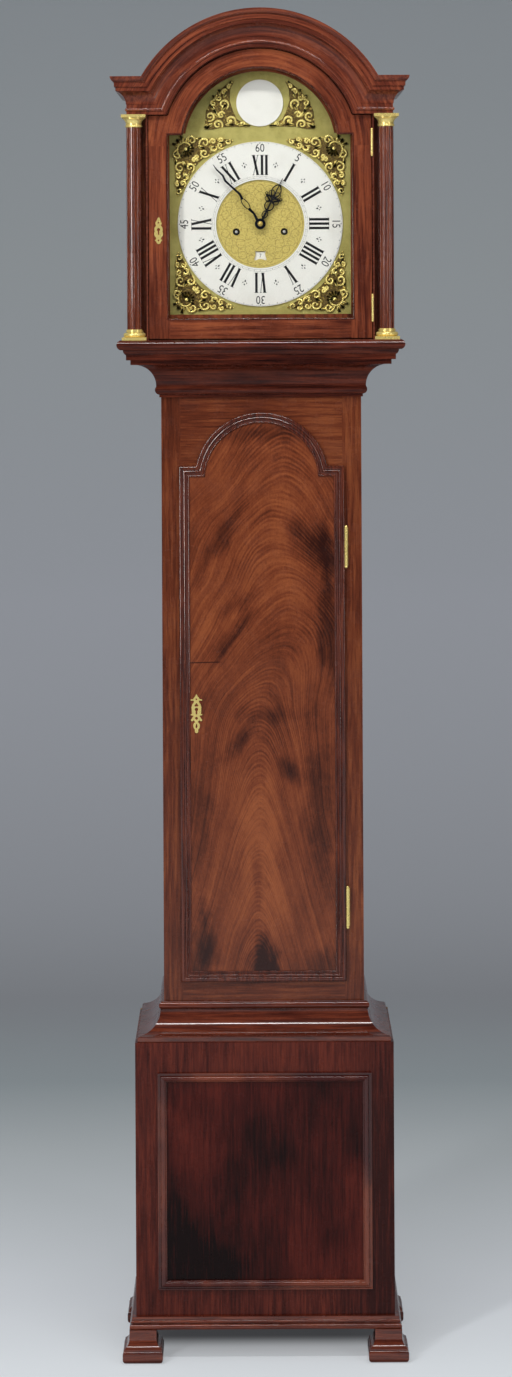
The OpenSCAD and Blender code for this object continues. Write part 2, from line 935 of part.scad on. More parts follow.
// Pierced plate of three lobes, the middle one with the keyhole
module hood_escutcheon_outline()
{
    difference() {
        union() {
            bar([0.5, 20], [0, 12.2], 2.1, 5.2);
            bar([0, 10], [0, -12], 4.3, 4.2);
            bar([0, 2.6], [0, -5.4], 6.9, 7.3);
            bar([0, -15.6], [0, -18.8], 4.8, 3.3);
            for (side = [-1, 1]) bar([0, -15.4], [side * 5.2, -15.9], 2.2, 0.9);
        }
        translate([0, 13.4]) circle(1.3);
        translate([0, 1.8]) keyhole(2.6, 8.4);
        translate([0, -16]) circle(1.3);
    }
}

// Dial

y_hands = y_dial - 4.5;
z_boss = z_dial_arch + boss_rise;

module date_window()
{
    half = date_w / 2;
    difference() {
        translate([-half, -date_h / 2]) square([date_w, date_h]);
        for (side = [-1, 1]) translate([side * (half + 11), 3]) circle(13);
        translate([0, -date_h / 2 - 10]) circle(12);
    }
}

module dial_plate()
{
    stud_r = 68.4;
    color(brass) {
        front_prism(y_dial + dial_t, dial_t)
            difference() {
                arched(dial_hw, z_dial, z_dial + 2 * dial_hw, dial_arch_r, z_dial_arch);
                translate([0, z_centre]) {
                    circle(6);
                    for (x = [-wind_x, wind_x])
                        translate([x, -wind_drop]) circle(wind_hole_d / 2);
                    translate([0, -date_drop]) date_window();
                }
            }
        // Turned rings round the winding holes
        for (x = [-wind_x, wind_x])
            front_prism(y_dial, 0.8)
                translate([x, z_centre - wind_drop])
                    difference() {
                        circle(wind_hole_d / 2 + 1.4);
                        circle(wind_hole_d / 2);
                    }
        // Headed studs that carry the date ring
        for (a = [30, 150, 270]) {
            rod_y(stud_r * cos(a), z_centre + stud_r * sin(a), y_dial + dial_t, 3.6, 1.6);
            rod_y(stud_r * cos(a), z_centre + stud_r * sin(a), y_dial + dial_t + 2.4, 1.2, 4);
        }
    }
}

module silvered_rings()
{
    color(silvered) {
        front_prism(y_dial, chapter_t)
            translate([0, z_centre])
                difference() {
                    circle(chapter_d / 2, $fn = 96);
                    circle(chapter_in_d / 2, $fn = 96);
                }
        front_prism(y_dial, chapter_t)
            translate([0, z_boss]) circle(boss_d / 2, $fn = 72);
    }
}

// Half of a corner casting: a shell and shrinking scrolls along one edge of the dial
module casting_arm()
{
    translate([32, 32]) circle(22);
    translate([17, 60]) circle(10);
    translate([15, 77]) circle(8);
    translate([13, 92]) circle(6);
    translate([10, 34]) square([16, 56]);
}

module corner_casting()
{
    difference() {
        union() {
            casting_arm();
            mirror([1, -1, 0]) casting_arm();
        }
        translate([dial_hw, dial_hw]) circle(chapter_d / 2 + 1.5, $fn = 96);
        for (p = [[17, 60], [60, 17], [15, 77], [77, 15]]) translate(p) circle(3.4);
    }
}

module arch_casting()
{
    difference() {
        union() {
            translate([-64, 56]) circle(17);
            translate([-82, 36]) circle(12);
            translate([-54, 80]) circle(12);
            translate([-84, 50]) circle(8);
            translate([-46, 95]) circle(7);
        }
        translate([-82, 36]) circle(4);
        translate([-54, 82]) circle(4);
    }
}

module spandrels()
{
    casting_t = 3;
    color(brass)
        front_prism(y_dial, casting_t) {
            translate([0, z_centre])
                for (side = [0, 1], level = [0, 1])
                    mirror([side, 0, 0]) mirror([0, level, 0])
                        translate([-dial_hw, -dial_hw]) corner_casting();
            translate([0, z_dial_arch])
                for (side = [0, 1]) mirror([side, 0, 0]) arch_casting();
        }
}

module date_ring()
{
    color(silvered)
        front_prism(y_dial + dial_t + 1.5, 1.2)
            translate([0, z_centre])
                difference() {
                    circle(66, $fn = 96);
                    circle(46.8, $fn = 96);
                }
}

// Movement. Arbor places are measured from the dial's centre, across and up.

p_centre = [0, 0];
p_great = [wind_x, -wind_drop];
p_strike = [-wind_x, -wind_drop];
p_third = [16, 22];
p_escape = [0, 40.3];
p_pallets = [0, 68.6];
p_minute = [0, -30];
p_pin = [-30, 22.4];
p_warning = [-47, 41];
p_fly = [-30, 50.8];
p_hammer = [-60, 20];
z_suspend = z_centre + p_pallets[1];
great_teeth = 96;
strike_teeth = 84;
pinion_leaves = 8;
centre_teeth = 60;
third_teeth = 56;
escape_leaves = 7;
escape_teeth = 30;
motion_teeth = 40;
minute_leaves = 6;
hour_teeth = 72;
pin_teeth = 56;
warning_teeth = 49;
pillar_places = [[-57, -84], [57, -84], [-45, 67], [45, 67]];
dial_foot_places = [[-55, -55], [55, -55], [-55, 55], [55, 55]];
y_line = (y_plate + y_rear) / 2 - 2;
groove_r = barrel_r + line_r;

// Module of a wheel and pinion from the distance between their arbors
function gear_module(p, q, za, zb) = 2 * norm(p - q) / (za + zb);
// Direction from one arbor to another, seen from the front
function towards(p, q) = atan2(q[1] - p[1], q[0] - p[0]);

// Outline of a wheel: tapered teeth, the first at the given angle
module wheel_outline(teeth, m, angle)
{
    pitch_r = teeth * m / 2;
    half = 0.21 * PI * m;
    tooth = [
        [pitch_r - 1.1 * m, -1.2 * half], [pitch_r + 0.62 * m, -0.5 * half],
        [pitch_r + 0.62 * m, 0.5 * half], [pitch_r - 1.1 * m, 1.2 * half]
    ];
    rotate(angle)
        polygon([
            for (i = [0 : teeth - 1], p = tooth)
                let (a = i * 360 / teeth)
                    [p[0] * cos(a) - p[1] * sin(a), p[0] * sin(a) + p[1] * cos(a)]
        ]);
}

// Outline of a pinion: slim leaves with a gap at the given angle
module pinion_outline(leaves, m, angle)
{
    pitch_r = leaves * m / 2;
    half = 0.17 * PI * m;
    leaf = [
        [pitch_r - 0.95 * m, -0.75 * half], [pitch_r + 0.2 * m, -0.9 * half],
        [pitch_r + 0.62 * m, -0.45 * half], [pitch_r + 0.62 * m, 0.45 * half],
        [pitch_r + 0.2 * m, 0.9 * half], [pitch_r - 0.95 * m, 0.75 * half]
    ];
    rotate(angle + 180 / leaves)
        polygon([
            for (i = [0 : leaves - 1], p = leaf)
                let (a = i * 360 / leaves)
                    [p[0] * cos(a) - p[1] * sin(a), p[0] * sin(a) + p[1] * cos(a)]
        ]);
}

// Four crossings cut out of a wheel between hub and rim
module crossings(hub_r, rim_r, arm)
{
    difference() {
        circle(rim_r);
        circle(hub_r);
        square([2 * rim_r, arm], center = true);
        square([arm, 2 * rim_r], center = true);
    }
}

// A shape across an arbor, from a depth back by a thickness
module on_arbor(p, y, t)
{
    translate([p[0], y + t, z_centre + p[1]]) rotate([90, 0, 0]) linear_extrude(t) children();
}

module train_wheel(p, y, teeth, m, angle)
{
    pitch_r = teeth * m / 2;
    on_arbor(p, y, wheel_t)
        difference() {
            wheel_outline(teeth, m, angle);
            if (pitch_r > 12) crossings(pitch_r * 0.24, pitch_r - 3.2 * m, pitch_r * 0.12);
        }
}

// An arbor between the plates, with a pivot at each end
module arbor(p)
{
    shake = 0.3;
    rod_y(p[0], z_centre + p[1], y_plate + shake, plate_gap - 2 * shake, arbor_r);
    rod_y(p[0], z_centre + p[1], y_plate - plate_t + 0.5, plate_gap + 2 * plate_t - 1, pivot_r);
}

module plate_outline()
{
    translate([-plate_hw, z_centre - plate_down]) square([2 * plate_hw, plate_down + plate_up]);
}

module pivot_holes(places)
{
    for (p = places) translate([p[0], z_centre + p[1]]) circle(pivot_r + pivot_fit);
}

module front_plate()
{
    color(brass)
        front_prism(y_plate, plate_t)
            difference() {
                plate_outline();
                pivot_holes([p_third, p_escape, p_pallets, p_pin, p_warning, p_fly, p_hammer]);
                translate([0, z_centre]) circle(arbor_r + pivot_fit);
                for (p = [p_great, p_strike])
                    translate([p[0], z_centre + p[1]]) circle(2.5 + pivot_fit);
            }
}

module back_plate()
{
    color(brass)
        front_prism(y_rear + plate_t, plate_t)
            difference() {
                plate_outline();
                pivot_holes([p_centre, p_third, p_escape, p_pin, p_warning, p_fly, p_hammer]);
                translate([0, z_suspend]) circle(arbor_r + 2);
                for (p = [p_great, p_strike])
                    translate([p[0], z_centre + p[1]]) circle(2.5 + pivot_fit);
            }
}

// Turned pillars between the plates, dial feet, and the stud of the minute wheel
module pillars_and_feet()
{
    color(brass) {
        for (p = pillar_places) {
            rod_y(p[0], z_centre + p[1], y_plate, plate_gap, pillar_r - 1.2);
            for (y = [y_plate, y_rear - 3, (y_plate + y_rear) / 2 - 3])
                rod_y(p[0], z_centre + p[1], y, y == y_plate || y == y_rear - 3 ? 3 : 6, pillar_r);
        }
        for (p = dial_foot_places)
            rod_y(p[0], z_centre + p[1], y_dial + dial_t, y_plate - plate_t - y_dial - dial_t, 3);
        rod_y(p_minute[0], z_centre + p_minute[1], y_plate - plate_t - 14, 14, pivot_r);
    }
}

module seatboard()
{
    front = y_trunk + 10;
    back = y_rear + plate_t + 8;
    color(mahogany)
        difference() {
            translate([-trunk_hw, front, z_seat - seat_t])
                cube([2 * trunk_hw, back - front, seat_t]);
            for (x = [-wind_x, wind_x], strand = [-groove_r, groove_r])
                translate([x + strand, y_line, z_seat - seat_t - cut])
                    cylinder(h = seat_t + 2 * cut, r = 4);
        }
}

module centre_wheel()
{
    m_great = gear_module(p_great, p_centre, great_teeth, pinion_leaves);
    m_third = gear_module(p_centre, p_third, centre_teeth, pinion_leaves);
    color(brass) train_wheel(p_centre, y_plate + 3.5, centre_teeth, m_third, towards(p_centre, p_third));
    color(steel) {
        on_arbor(p_centre, y_rear - 12, 6)
            pinion_outline(pinion_leaves, m_great, towards(p_centre, p_great));
        rod_y(0, z_centre, y_plate + 0.3, plate_gap - 0.6, arbor_r + 0.6);
        rod_y(0, z_centre, y_rear - 1, plate_t + 0.5, pivot_r);
        rod_y(0, z_centre, y_hands - 7, y_plate - y_hands + 8, arbor_r);
    }
}

module great_wheel()
{
    m = gear_module(p_great, p_centre, great_teeth, pinion_leaves);
    y = y_rear - 10;
    color(brass)
        on_arbor(p_great, y, wheel_t)
            difference() {
                wheel_outline(great_teeth, m, towards(p_great, p_centre));
                crossings(11, great_teeth * m / 2 - 4, 6);
                circle(2.5 + pivot_fit);
            }
}

module strike_great_wheel()
{
    m = gear_module(p_strike, p_pin, strike_teeth, pinion_leaves);
    y = y_rear - 10;
    color(brass)
        on_arbor(p_strike, y, wheel_t)
            difference() {
                wheel_outline(strike_teeth, m, towards(p_strike, p_pin));
                crossings(11, strike_teeth * m / 2 - 4, 6);
                circle(2.5 + pivot_fit);
            }
}

// A barrel on its arbor, with two flanges and the square that takes the winding key
module barrel(p)
{
    flange_r = barrel_r + 3.2;
    front = y_plate + 7;
    back = y_rear - 11.5;
    x = p[0];
    z = z_centre + p[1];
    rod_y(x, z, front, back - front, barrel_r);
    rod_y(x, z, front, 1.5, flange_r);
    rod_y(x, z, back - 1.5, 1.5, flange_r);
    rod_y(x, z, y_plate - plate_t - 2, plate_gap + 2 * plate_t + 4, 2.5);
    translate([x - 1.75, y_dial + 1, z - 1.75])
        cube([3.5, y_plate - plate_t - y_dial - 2, 3.5]);
}

module going_barrel()
{
    color(brass) barrel(p_great);
}

module strike_barrel()
{
    color(brass) barrel(p_strike);
}

module third_wheel()
{
    m_in = gear_module(p_centre, p_third, centre_teeth, pinion_leaves);
    m_out = gear_module(p_third, p_escape, third_teeth, escape_leaves);
    color(steel) {
        arbor(p_third);
        on_arbor(p_third, y_plate + 1, 6)
            pinion_outline(pinion_leaves, m_in, towards(p_third, p_centre));
    }
    color(brass) train_wheel(p_third, y_rear - 3.8, third_teeth, m_out, towards(p_third, p_escape));
}

module escape_wheel()
{
    m = gear_module(p_third, p_escape, third_teeth, escape_leaves);
    r = 20;
    tooth = [[r, -1], [r, -0.35], [r - 3.6, 0.9]];
    color(steel) {
        arbor(p_escape);
        on_arbor(p_escape, y_rear - 5.5, 5)
            pinion_outline(escape_leaves, m, towards(p_escape, p_third));
    }
    color(brass)
        on_arbor(p_escape, y_rear - 15, wheel_t)
            difference() {
                polygon([
                    for (i = [0 : escape_teeth - 1], p = tooth)
                        let (a = i * 360 / escape_teeth + 6)
                            [p[0] * cos(a) - p[1] * sin(a), p[0] * sin(a) + p[1] * cos(a)]
                ]);
                crossings(4.5, r - 6, 2.4);
            }
}

// Anchor, arbor and crutch, with the fork that embraces the pendulum rod
module pallets()
{
    clear_r = 21.4;
    y = y_rear - 15;
    color(steel) {
        rod_y(0, z_suspend, y_plate + 0.3, y_rear + plate_t + 8.4 - y_plate, arbor_r);
        rod_y(0, z_suspend, y_plate - plate_t + 0.5, plate_t, pivot_r);
        rod_y(0, z_suspend, y_rear + plate_t + 8, 4, pivot_r);
        on_arbor(p_pallets, y, wheel_t)
            difference() {
                union() {
                    circle(4.5);
                    for (side = [-1, 1])
                        polygon([
                            [0, 4.2], [side * 19.5, -9], [side * 17, -14.5],
                            [side * 14.3, -11], [0, -3.5]
                        ]);
                }
                translate([0, p_escape[1] - p_pallets[1]]) circle(clear_r, $fn = 72);
            }
        translate([-2, y_rear + plate_t + 3, z_suspend - 95]) cube([4, 2, 97]);
        translate([-6, y_rear + plate_t + 3, z_suspend - 95]) cube([12, 2, 4]);
        for (x = [-5.2, 2.4])
            translate([x, y_rear + plate_t + 3, z_suspend - 95])
                cube([2.8, y_pendulum - y_rear - plate_t + 1, 4]);
    }
}

// Back cock that carries the pendulum, and the stand of the bell
module cock_and_bell_stand()
{
    back = y_rear + plate_t;
    color(brass) {
        difference() {
            union() {
                for (x = [-26, 18]) translate([x, back, z_suspend - 8]) cube([8, 10, 18]);
                translate([-26, back + 9, z_suspend - 8]) cube([52, 4, 18]);
                translate([-9, back + 13, z_suspend - 6]) cube([18, 15, 16]);
            }
            rod_y(0, z_suspend, back + 9 - cut, 6, pivot_r + pivot_fit);
            rod_y(0, z_suspend, back + 14, 16, 1.5 + pivot_fit);
            translate([-3, y_pendulum - 3, z_suspend - 6 - cut]) cube([6, 6, 30]);
        }
        translate([26.5, back, z_suspend - 8]) cube([8, 3, 40]);
        translate([26.5, back, z_suspend + 26]) cube([8, 10, 6]);
        translate([-4, back, z_suspend + 26]) cube([34, 8, 6]);
        translate([0, back + 4, z_suspend + 26]) cylinder(h = bell_low + bell_h + 3 - 26, r = 2.5);
        translate([0, back + 4, z_suspend + bell_low + bell_h]) cylinder(h = 4, r = 5);
        translate([0, back + 4, z_suspend + bell_low + bell_h - 4.6]) cylinder(h = 2, r = 5);
    }
}

bell_low = 40;
bell_h = 36;

// The bell, drawn as a thin cup that opens downward
module bell()
{
    r = bell_d / 2;
    t = 2.4;
    color(brass)
        translate([0, y_rear + plate_t + 4, z_suspend + bell_low])
            rotate_extrude($fn = 96)
                difference() {
                    union() {
                        square([r, 3]);
                        intersection() {
                            translate([0, bell_h - r + 2]) circle(r - 2, $fn = 96);
                            square([r, bell_h]);
                        }
                    }
                    intersection() {
                        translate([0, bell_h - r + 2 - cut]) circle(r - 2 - t + cut, $fn = 96);
                        translate([-cut, -cut]) square([r + cut, bell_h - t + cut]);
                    }
                    translate([-cut, -cut]) square([cut + 2.5 + 0.05, bell_h + 2 * cut]);
                }
}

// Motion work and hands

cannon_r = 2.8;
hour_pipe_r = 4.2;
hand_t = 1.4;
y_motion = y_plate - plate_t - 5;

module pipe(y, length, r, bore)
{
    on_arbor(p_centre, y, length)
        difference() {
            circle(r);
            circle(bore);
        }
}

module cannon_wheel()
{
    m = gear_module(p_centre, p_minute, motion_teeth, motion_teeth);
    color(brass) {
        on_arbor(p_centre, y_motion, wheel_t)
            difference() {
                wheel_outline(motion_teeth, m, towards(p_centre, p_minute));
                circle(arbor_r + pivot_fit);
            }
        pipe(y_hands - 6, y_motion - y_hands + 8, cannon_r, arbor_r + pivot_fit);
    }
}

module minute_wheel()
{
    m_in = gear_module(p_centre, p_minute, motion_teeth, motion_teeth);
    m_out = gear_module(p_centre, p_minute, hour_teeth, minute_leaves);
    color(brass)
        on_arbor(p_minute, y_motion, wheel_t)
            difference() {
                wheel_outline(motion_teeth, m_in,
                              towards(p_minute, p_centre) + 180 / motion_teeth);
                circle(pivot_r + pivot_fit);
            }
    color(steel)
        on_arbor(p_minute, y_motion - 7, 7)
            difference() {
                pinion_outline(minute_leaves, m_out, towards(p_minute, p_centre));
                circle(pivot_r + pivot_fit);
            }
}

module hour_wheel()
{
    m = gear_module(p_centre, p_minute, hour_teeth, minute_leaves);
    color(brass) {
        on_arbor(p_centre, y_motion - 5.5, wheel_t)
            difference() {
                wheel_outline(hour_teeth, m, towards(p_centre, p_minute));
                circle(cannon_r + pivot_fit);
            }
        pipe(y_hands - 1.6, y_motion - 5.5 - y_hands + 2, hour_pipe_r, cannon_r + pivot_fit);
    }
}

// A straight limb with round ends; sink draws its sides in from the ends' full width
module limb(a, b, ra, rb, sink = 1)
{
    side = sink * [a[1] - b[1], b[0] - a[0]] / norm(b - a);
    polygon([a - ra * side, b - rb * side, b + rb * side, a + ra * side]);
    translate(a) circle(ra);
    translate(b) circle(rb);
}

module bar(a, b, ra, rb)
{
    limb(a, b, ra, rb, 0.96);
}

module leaf_ring(low, high, half, wall)
{
    difference() {
        leaf(low, high, half);
        leaf(low + 1.6 * wall, high - 1.6 * wall, half - wall);
    }
}

module leaf(low, high, half)
{
    rise = (high - low) / 2;
    r = (rise * rise + half * half) / (2 * half);
    intersection() {
        translate([half - r, low + rise]) circle(r);
        translate([r - half, low + rise]) circle(r);
    }
}

// The hour hand, drawn upward from the dial's centre
module hour_hand_outline()
{
    difference() {
        union() {
            circle(9);
            limb([0, 8], [0, 84], 2, 0.5);
            leaf_ring(9, 26, 5.2, 1.5);
            leaf_ring(24, 44, 8.5, 1.8);
            limb([-13, 49], [13, 49], 1.3, 1.3);
            leaf_ring(47, 74, 8.5, 1.8);
            for (side = [-1, 1]) {
                translate([side * 13, 51]) circle(2.6);
                limb([side * 13, 49], [side * 4, 43], 1.3, 1.3);
            }
        }
        circle(hour_pipe_r);
        for (side = [-1, 1]) translate([side * 13, 51.2]) circle(1.1);
    }
}

// The minute hand, a slim waved bar with one open leaf, drawn upward
module minute_hand_outline()
{
    wave = [[0, 8], [2.5, 20], [1.2, 30], [2.6, 52], [4.2, 60], [1.2, 78], [-1, 92], [1.4, 102],
            [-0.6, 116], [0, 126]];
    widths = [2.4, 1.8, 2.4, 2.2, 2, 1.6, 1.8, 1.6, 1.2, 0.4];
    difference() {
        union() {
            circle(8.5);
            for (i = [0 : len(wave) - 2])
                if (i != 2) limb(wave[i], wave[i + 1], widths[i], widths[i + 1]);
            translate([1.6, 0]) leaf_ring(27, 55, 5, 1.5);
        }
        circle(cannon_r);
    }
}

module hour_hand()
{
    hour_angle = 26.5;
    color(blued)
        on_arbor(p_centre, y_hands - hand_t, hand_t) rotate(-hour_angle) hour_hand_outline();
}

module minute_hand()
{
    minute_angle = -38.3;
    color(blued)
        on_arbor(p_centre, y_hands - 4 - hand_t, hand_t)
            rotate(-minute_angle) minute_hand_outline();
}

// Striking train

module pin_wheel()
{
    m_in = gear_module(p_strike, p_pin, strike_teeth, pinion_leaves);
    m_out = gear_module(p_pin, p_warning, pin_teeth, escape_leaves);
    pins = 8;
    pin_r = pin_teeth * m_out / 2 - 1.7;
    color(steel) {
        arbor(p_pin);
        on_arbor(p_pin, y_rear - 12, 6)
            pinion_outline(pinion_leaves, m_in, towards(p_pin, p_strike));
        for (i = [1 : pins])
            rod_y(p_pin[0] + pin_r * cos(i * 360 / pins + 22.5),
                  z_centre + p_pin[1] + pin_r * sin(i * 360 / pins + 22.5), y_rear - 7, 3.6, 0.7);
    }
    color(brass) train_wheel(p_pin, y_rear - 3.8, pin_teeth, m_out, towards(p_pin, p_warning));
}

module warning_wheel()
{
    m_in = gear_module(p_pin, p_warning, pin_teeth, escape_leaves);
    m_out = gear_module(p_warning, p_fly, warning_teeth, escape_leaves);
    color(steel) {
        arbor(p_warning);
        on_arbor(p_warning, y_rear - 5.5, 5)
            pinion_outline(escape_leaves, m_in, towards(p_warning, p_pin));
    }
    color(brass)
        train_wheel(p_warning, y_plate + 15, warning_teeth, m_out, towards(p_warning, p_fly));
}

module fly()
{
    m = gear_module(p_warning, p_fly, warning_teeth, escape_leaves);
    color(steel) {
        arbor(p_fly);
        on_arbor(p_fly, y_plate + 13, 6)
            pinion_outline(escape_leaves, m, towards(p_fly, p_warning));
    }
    color(brass) {
        rod_y(p_fly[0], z_centre + p_fly[1], y_plate + 24, 16, 3);
        translate([p_fly[0] - 12, y_plate + 24, z_centre + p_fly[1] - 0.4]) cube([24, 16, 0.8]);
    }
}

// Hammer with its arbor, tail and long arm up to the bell's lip
module hammer()
{
    arm_y = y_rear - 7.5;
    head_z = z_suspend + bell_low + 1.5;
    head_reach = 9;
    x = p_hammer[0];
    z = z_centre + p_hammer[1];
    color(steel) {
        arbor(p_hammer);
        rod_y(x, z, arm_y, 2.5, 3.5);
        translate([x - 1.25, arm_y, z]) cube([2.5, 2.5, head_z - z]);
        translate([x, arm_y, z - 1]) cube([7.6, 2.5, 2]);
        translate([x - 4, arm_y + 1.25, head_z]) rotate([0, 90, 0]) cylinder(h = 13.5, r = 4.5);
    }
}

// Weights, pulleys and lines

pulley_half = 4;

module hung_weight(x)
{
    hook_h = 50;
    yoke_y = pulley_half + 1.2;
    translate([x, y_line, pulley_z]) {
        color(brass) {
            translate([0, 0, -hook_h - weight_h]) cylinder(h = weight_h, r = weight_d / 2);
            translate([0, 0, -hook_h - 1]) cylinder(h = 6, r = weight_d / 5);
        }
        color(steel) {
            translate([0, 0, -hook_h]) cylinder(h = 18, r = 2.2);
            translate([-6, -yoke_y - 1.5, -36]) cube([12, 2 * yoke_y + 3, 4]);
            for (side = [0, 1])
                mirror([0, side, 0]) translate([-6, yoke_y, -36]) cube([12, 1.5, 42]);
            translate([0, -yoke_y - 1.5, 0])
                rotate([-90, 0, 0]) cylinder(h = 2 * yoke_y + 3, r = 1.5);
        }
    }
}

module pulley(x)
{
    color(brass)
        translate([x, y_line, pulley_z])
            rotate([90, 0, 0])
                rotate_extrude($fn = 72)
                    difference() {
                        translate([1.5 + pivot_fit, -pulley_half])
                            square([groove_r + 0.5, 2 * pulley_half]);
                        translate([groove_r + 2.2, 0]) circle(3.4);
                    }
}

// A doubled line: down from the barrel's left side, round the pulley and up to a toggle
module line(side)
{
    top = z_seat;
    color([0.75, 0.65, 0.45])
        translate([side * wind_x, y_line, 0]) {
            for (x = [-groove_r, groove_r])
                translate([x, 0, pulley_z]) cylinder(h = top - pulley_z, r = line_r);
            translate([0, 0, pulley_z])
                rotate([90, 0, 0])
                    rotate_extrude(angle = 180, start = 180, $fn = 72)
                        translate([groove_r, 0]) circle(line_r);
            translate([groove_r - 8, 0, top + 1.6])
                rotate([0, 90, 0]) cylinder(h = 16, r = 1.6);
        }
}

module going_weight()
{
    hung_weight(wind_x);
}

module strike_weight()
{
    hung_weight(-wind_x);
}

module going_pulley()
{
    pulley(wind_x);
}

module strike_pulley()
{
    pulley(-wind_x);
}

module going_line()
{
    line(1);
}

module strike_line()
{
    line(-1);
}

// Pendulum: pin, suspension spring, rod, lens-shaped bob and rating nut
module pendulum()
{
    rod_r = 2.2;
    strip_h = 45;
    bob_r = bob_d / 2;
    face_r = (bob_r * bob_r + bob_t * bob_t / 4) / bob_t;
    z_bob = z_suspend - pendulum_l;
    color(steel) {
        rod_y(0, z_suspend, y_rear + plate_t + 14.3, 13.2, 1.5);
        translate([-2, y_pendulum - 0.4, z_suspend - strip_h - 2]) cube([4, 0.8, strip_h + 2]);
        translate([0, y_pendulum, z_bob - bob_r - 26])
            cylinder(h = pendulum_l + bob_r + 26 - strip_h, r = rod_r);
    }
    color(brass) {
        translate([0, y_pendulum, z_bob])
            rotate([90, 0, 0])
                rotate_extrude($fn = 96)
                    intersection() {
                        translate([0, face_r - bob_t / 2]) circle(face_r, $fn = 180);
                        translate([0, bob_t / 2 - face_r]) circle(face_r, $fn = 180);
                        translate([0, -bob_t]) square([bob_r - 0.5, 2 * bob_t]);
                    }
        translate([0, y_pendulum, z_bob - bob_r - 6]) cylinder(h = 6, r = 8);
    }
}

feet();
plinth_moulding();
base_carcase();
base_front_frame();
base_panel();
shoulder_moulding();
backboard();
trunk_sides();
trunk_front_frame();
throat_moulding();
seatboard();
dial_plate();
silvered_rings();
spandrels();
pillars_and_feet();
front_plate();
back_plate();
cock_and_bell_stand();
bell();
trunk_hinge_leaves();
trunk_door_board();
trunk_door_moulding();
trunk_door_brasses();
hood_sides();
hood_base_moulding();
hood_front_board();
hood_cornice();
hood_roof();
hood_columns();
column_brasses();
hood_mask();
hood_hinge_leaves();
hood_door_frame();
hood_door_glass();
hood_door_brasses();
centre_wheel();
cannon_wheel();
minute_hand();
minute_wheel();
hour_wheel();
hour_hand();
great_wheel();
going_barrel();
third_wheel();
escape_wheel();
pallets();
pendulum();
strike_great_wheel();
strike_barrel();
pin_wheel();
warning_wheel();
fly();
hammer();
going_weight();
strike_weight();
going_pulley();
strike_pulley();
going_line();
strike_line();
date_ring();
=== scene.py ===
"""The looks of an arched-dial longcase clock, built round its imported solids."""

import logging
import math
from dataclasses import dataclass
from enum import Enum
from itertools import pairwise
from typing import Any, Callable, Protocol, Sequence

import bmesh
import bpy
from mathutils import Matrix, Vector


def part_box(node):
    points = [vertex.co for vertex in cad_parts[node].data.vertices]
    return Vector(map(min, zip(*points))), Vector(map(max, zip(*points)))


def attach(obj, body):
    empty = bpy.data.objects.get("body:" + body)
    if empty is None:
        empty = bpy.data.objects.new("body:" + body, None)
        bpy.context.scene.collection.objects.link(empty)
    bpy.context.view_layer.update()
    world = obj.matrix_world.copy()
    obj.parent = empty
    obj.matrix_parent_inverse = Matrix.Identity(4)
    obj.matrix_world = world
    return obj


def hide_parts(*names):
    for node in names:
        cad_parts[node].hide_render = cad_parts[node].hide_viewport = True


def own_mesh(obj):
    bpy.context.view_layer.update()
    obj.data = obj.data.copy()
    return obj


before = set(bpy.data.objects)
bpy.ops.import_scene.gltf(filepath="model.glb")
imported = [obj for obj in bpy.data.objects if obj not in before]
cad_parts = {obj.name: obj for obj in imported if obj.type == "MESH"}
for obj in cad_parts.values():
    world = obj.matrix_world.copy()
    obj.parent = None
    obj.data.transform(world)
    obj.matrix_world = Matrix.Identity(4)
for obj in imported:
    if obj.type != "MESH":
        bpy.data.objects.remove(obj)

LOG = logging.getLogger("longcase_clock")
MM = 0.001
IMAGE_H = 1377
DIAL_Z = 1.8802  # the middle of the hour ring
ARCH_Z = 2.0092  # the centre that the hood's arches are struck from
ARBOR_X = 0.040  # how far the two winding arbors stand from the middle

Rgb = tuple[float, float, float]
Point = tuple[float, float, float]
Table = Sequence[tuple[float, ...]]
FacePick = Callable[[bmesh.types.BMFace], bool]


def srgb(red: int, green: int, blue: int) -> Rgb:
    """A screen colour of 0 to 255 as the linear colour that a shader takes."""
    def linear(value: int) -> float:
        """One channel, from the screen's curve to light."""
        part = value / 255
        return part / 12.92 if part <= 0.04045 else ((part + 0.055) / 1.055) ** 2.4
    return linear(red), linear(green), linear(blue)


class Grain(Enum):
    """Which way the wood's fibres run, as the scale of its pattern along X, Y and Z."""

    UPRIGHT = (1.0, 1.0, 0.05)
    ACROSS = (0.05, 1.0, 1.0)


# ---- shader maths ----

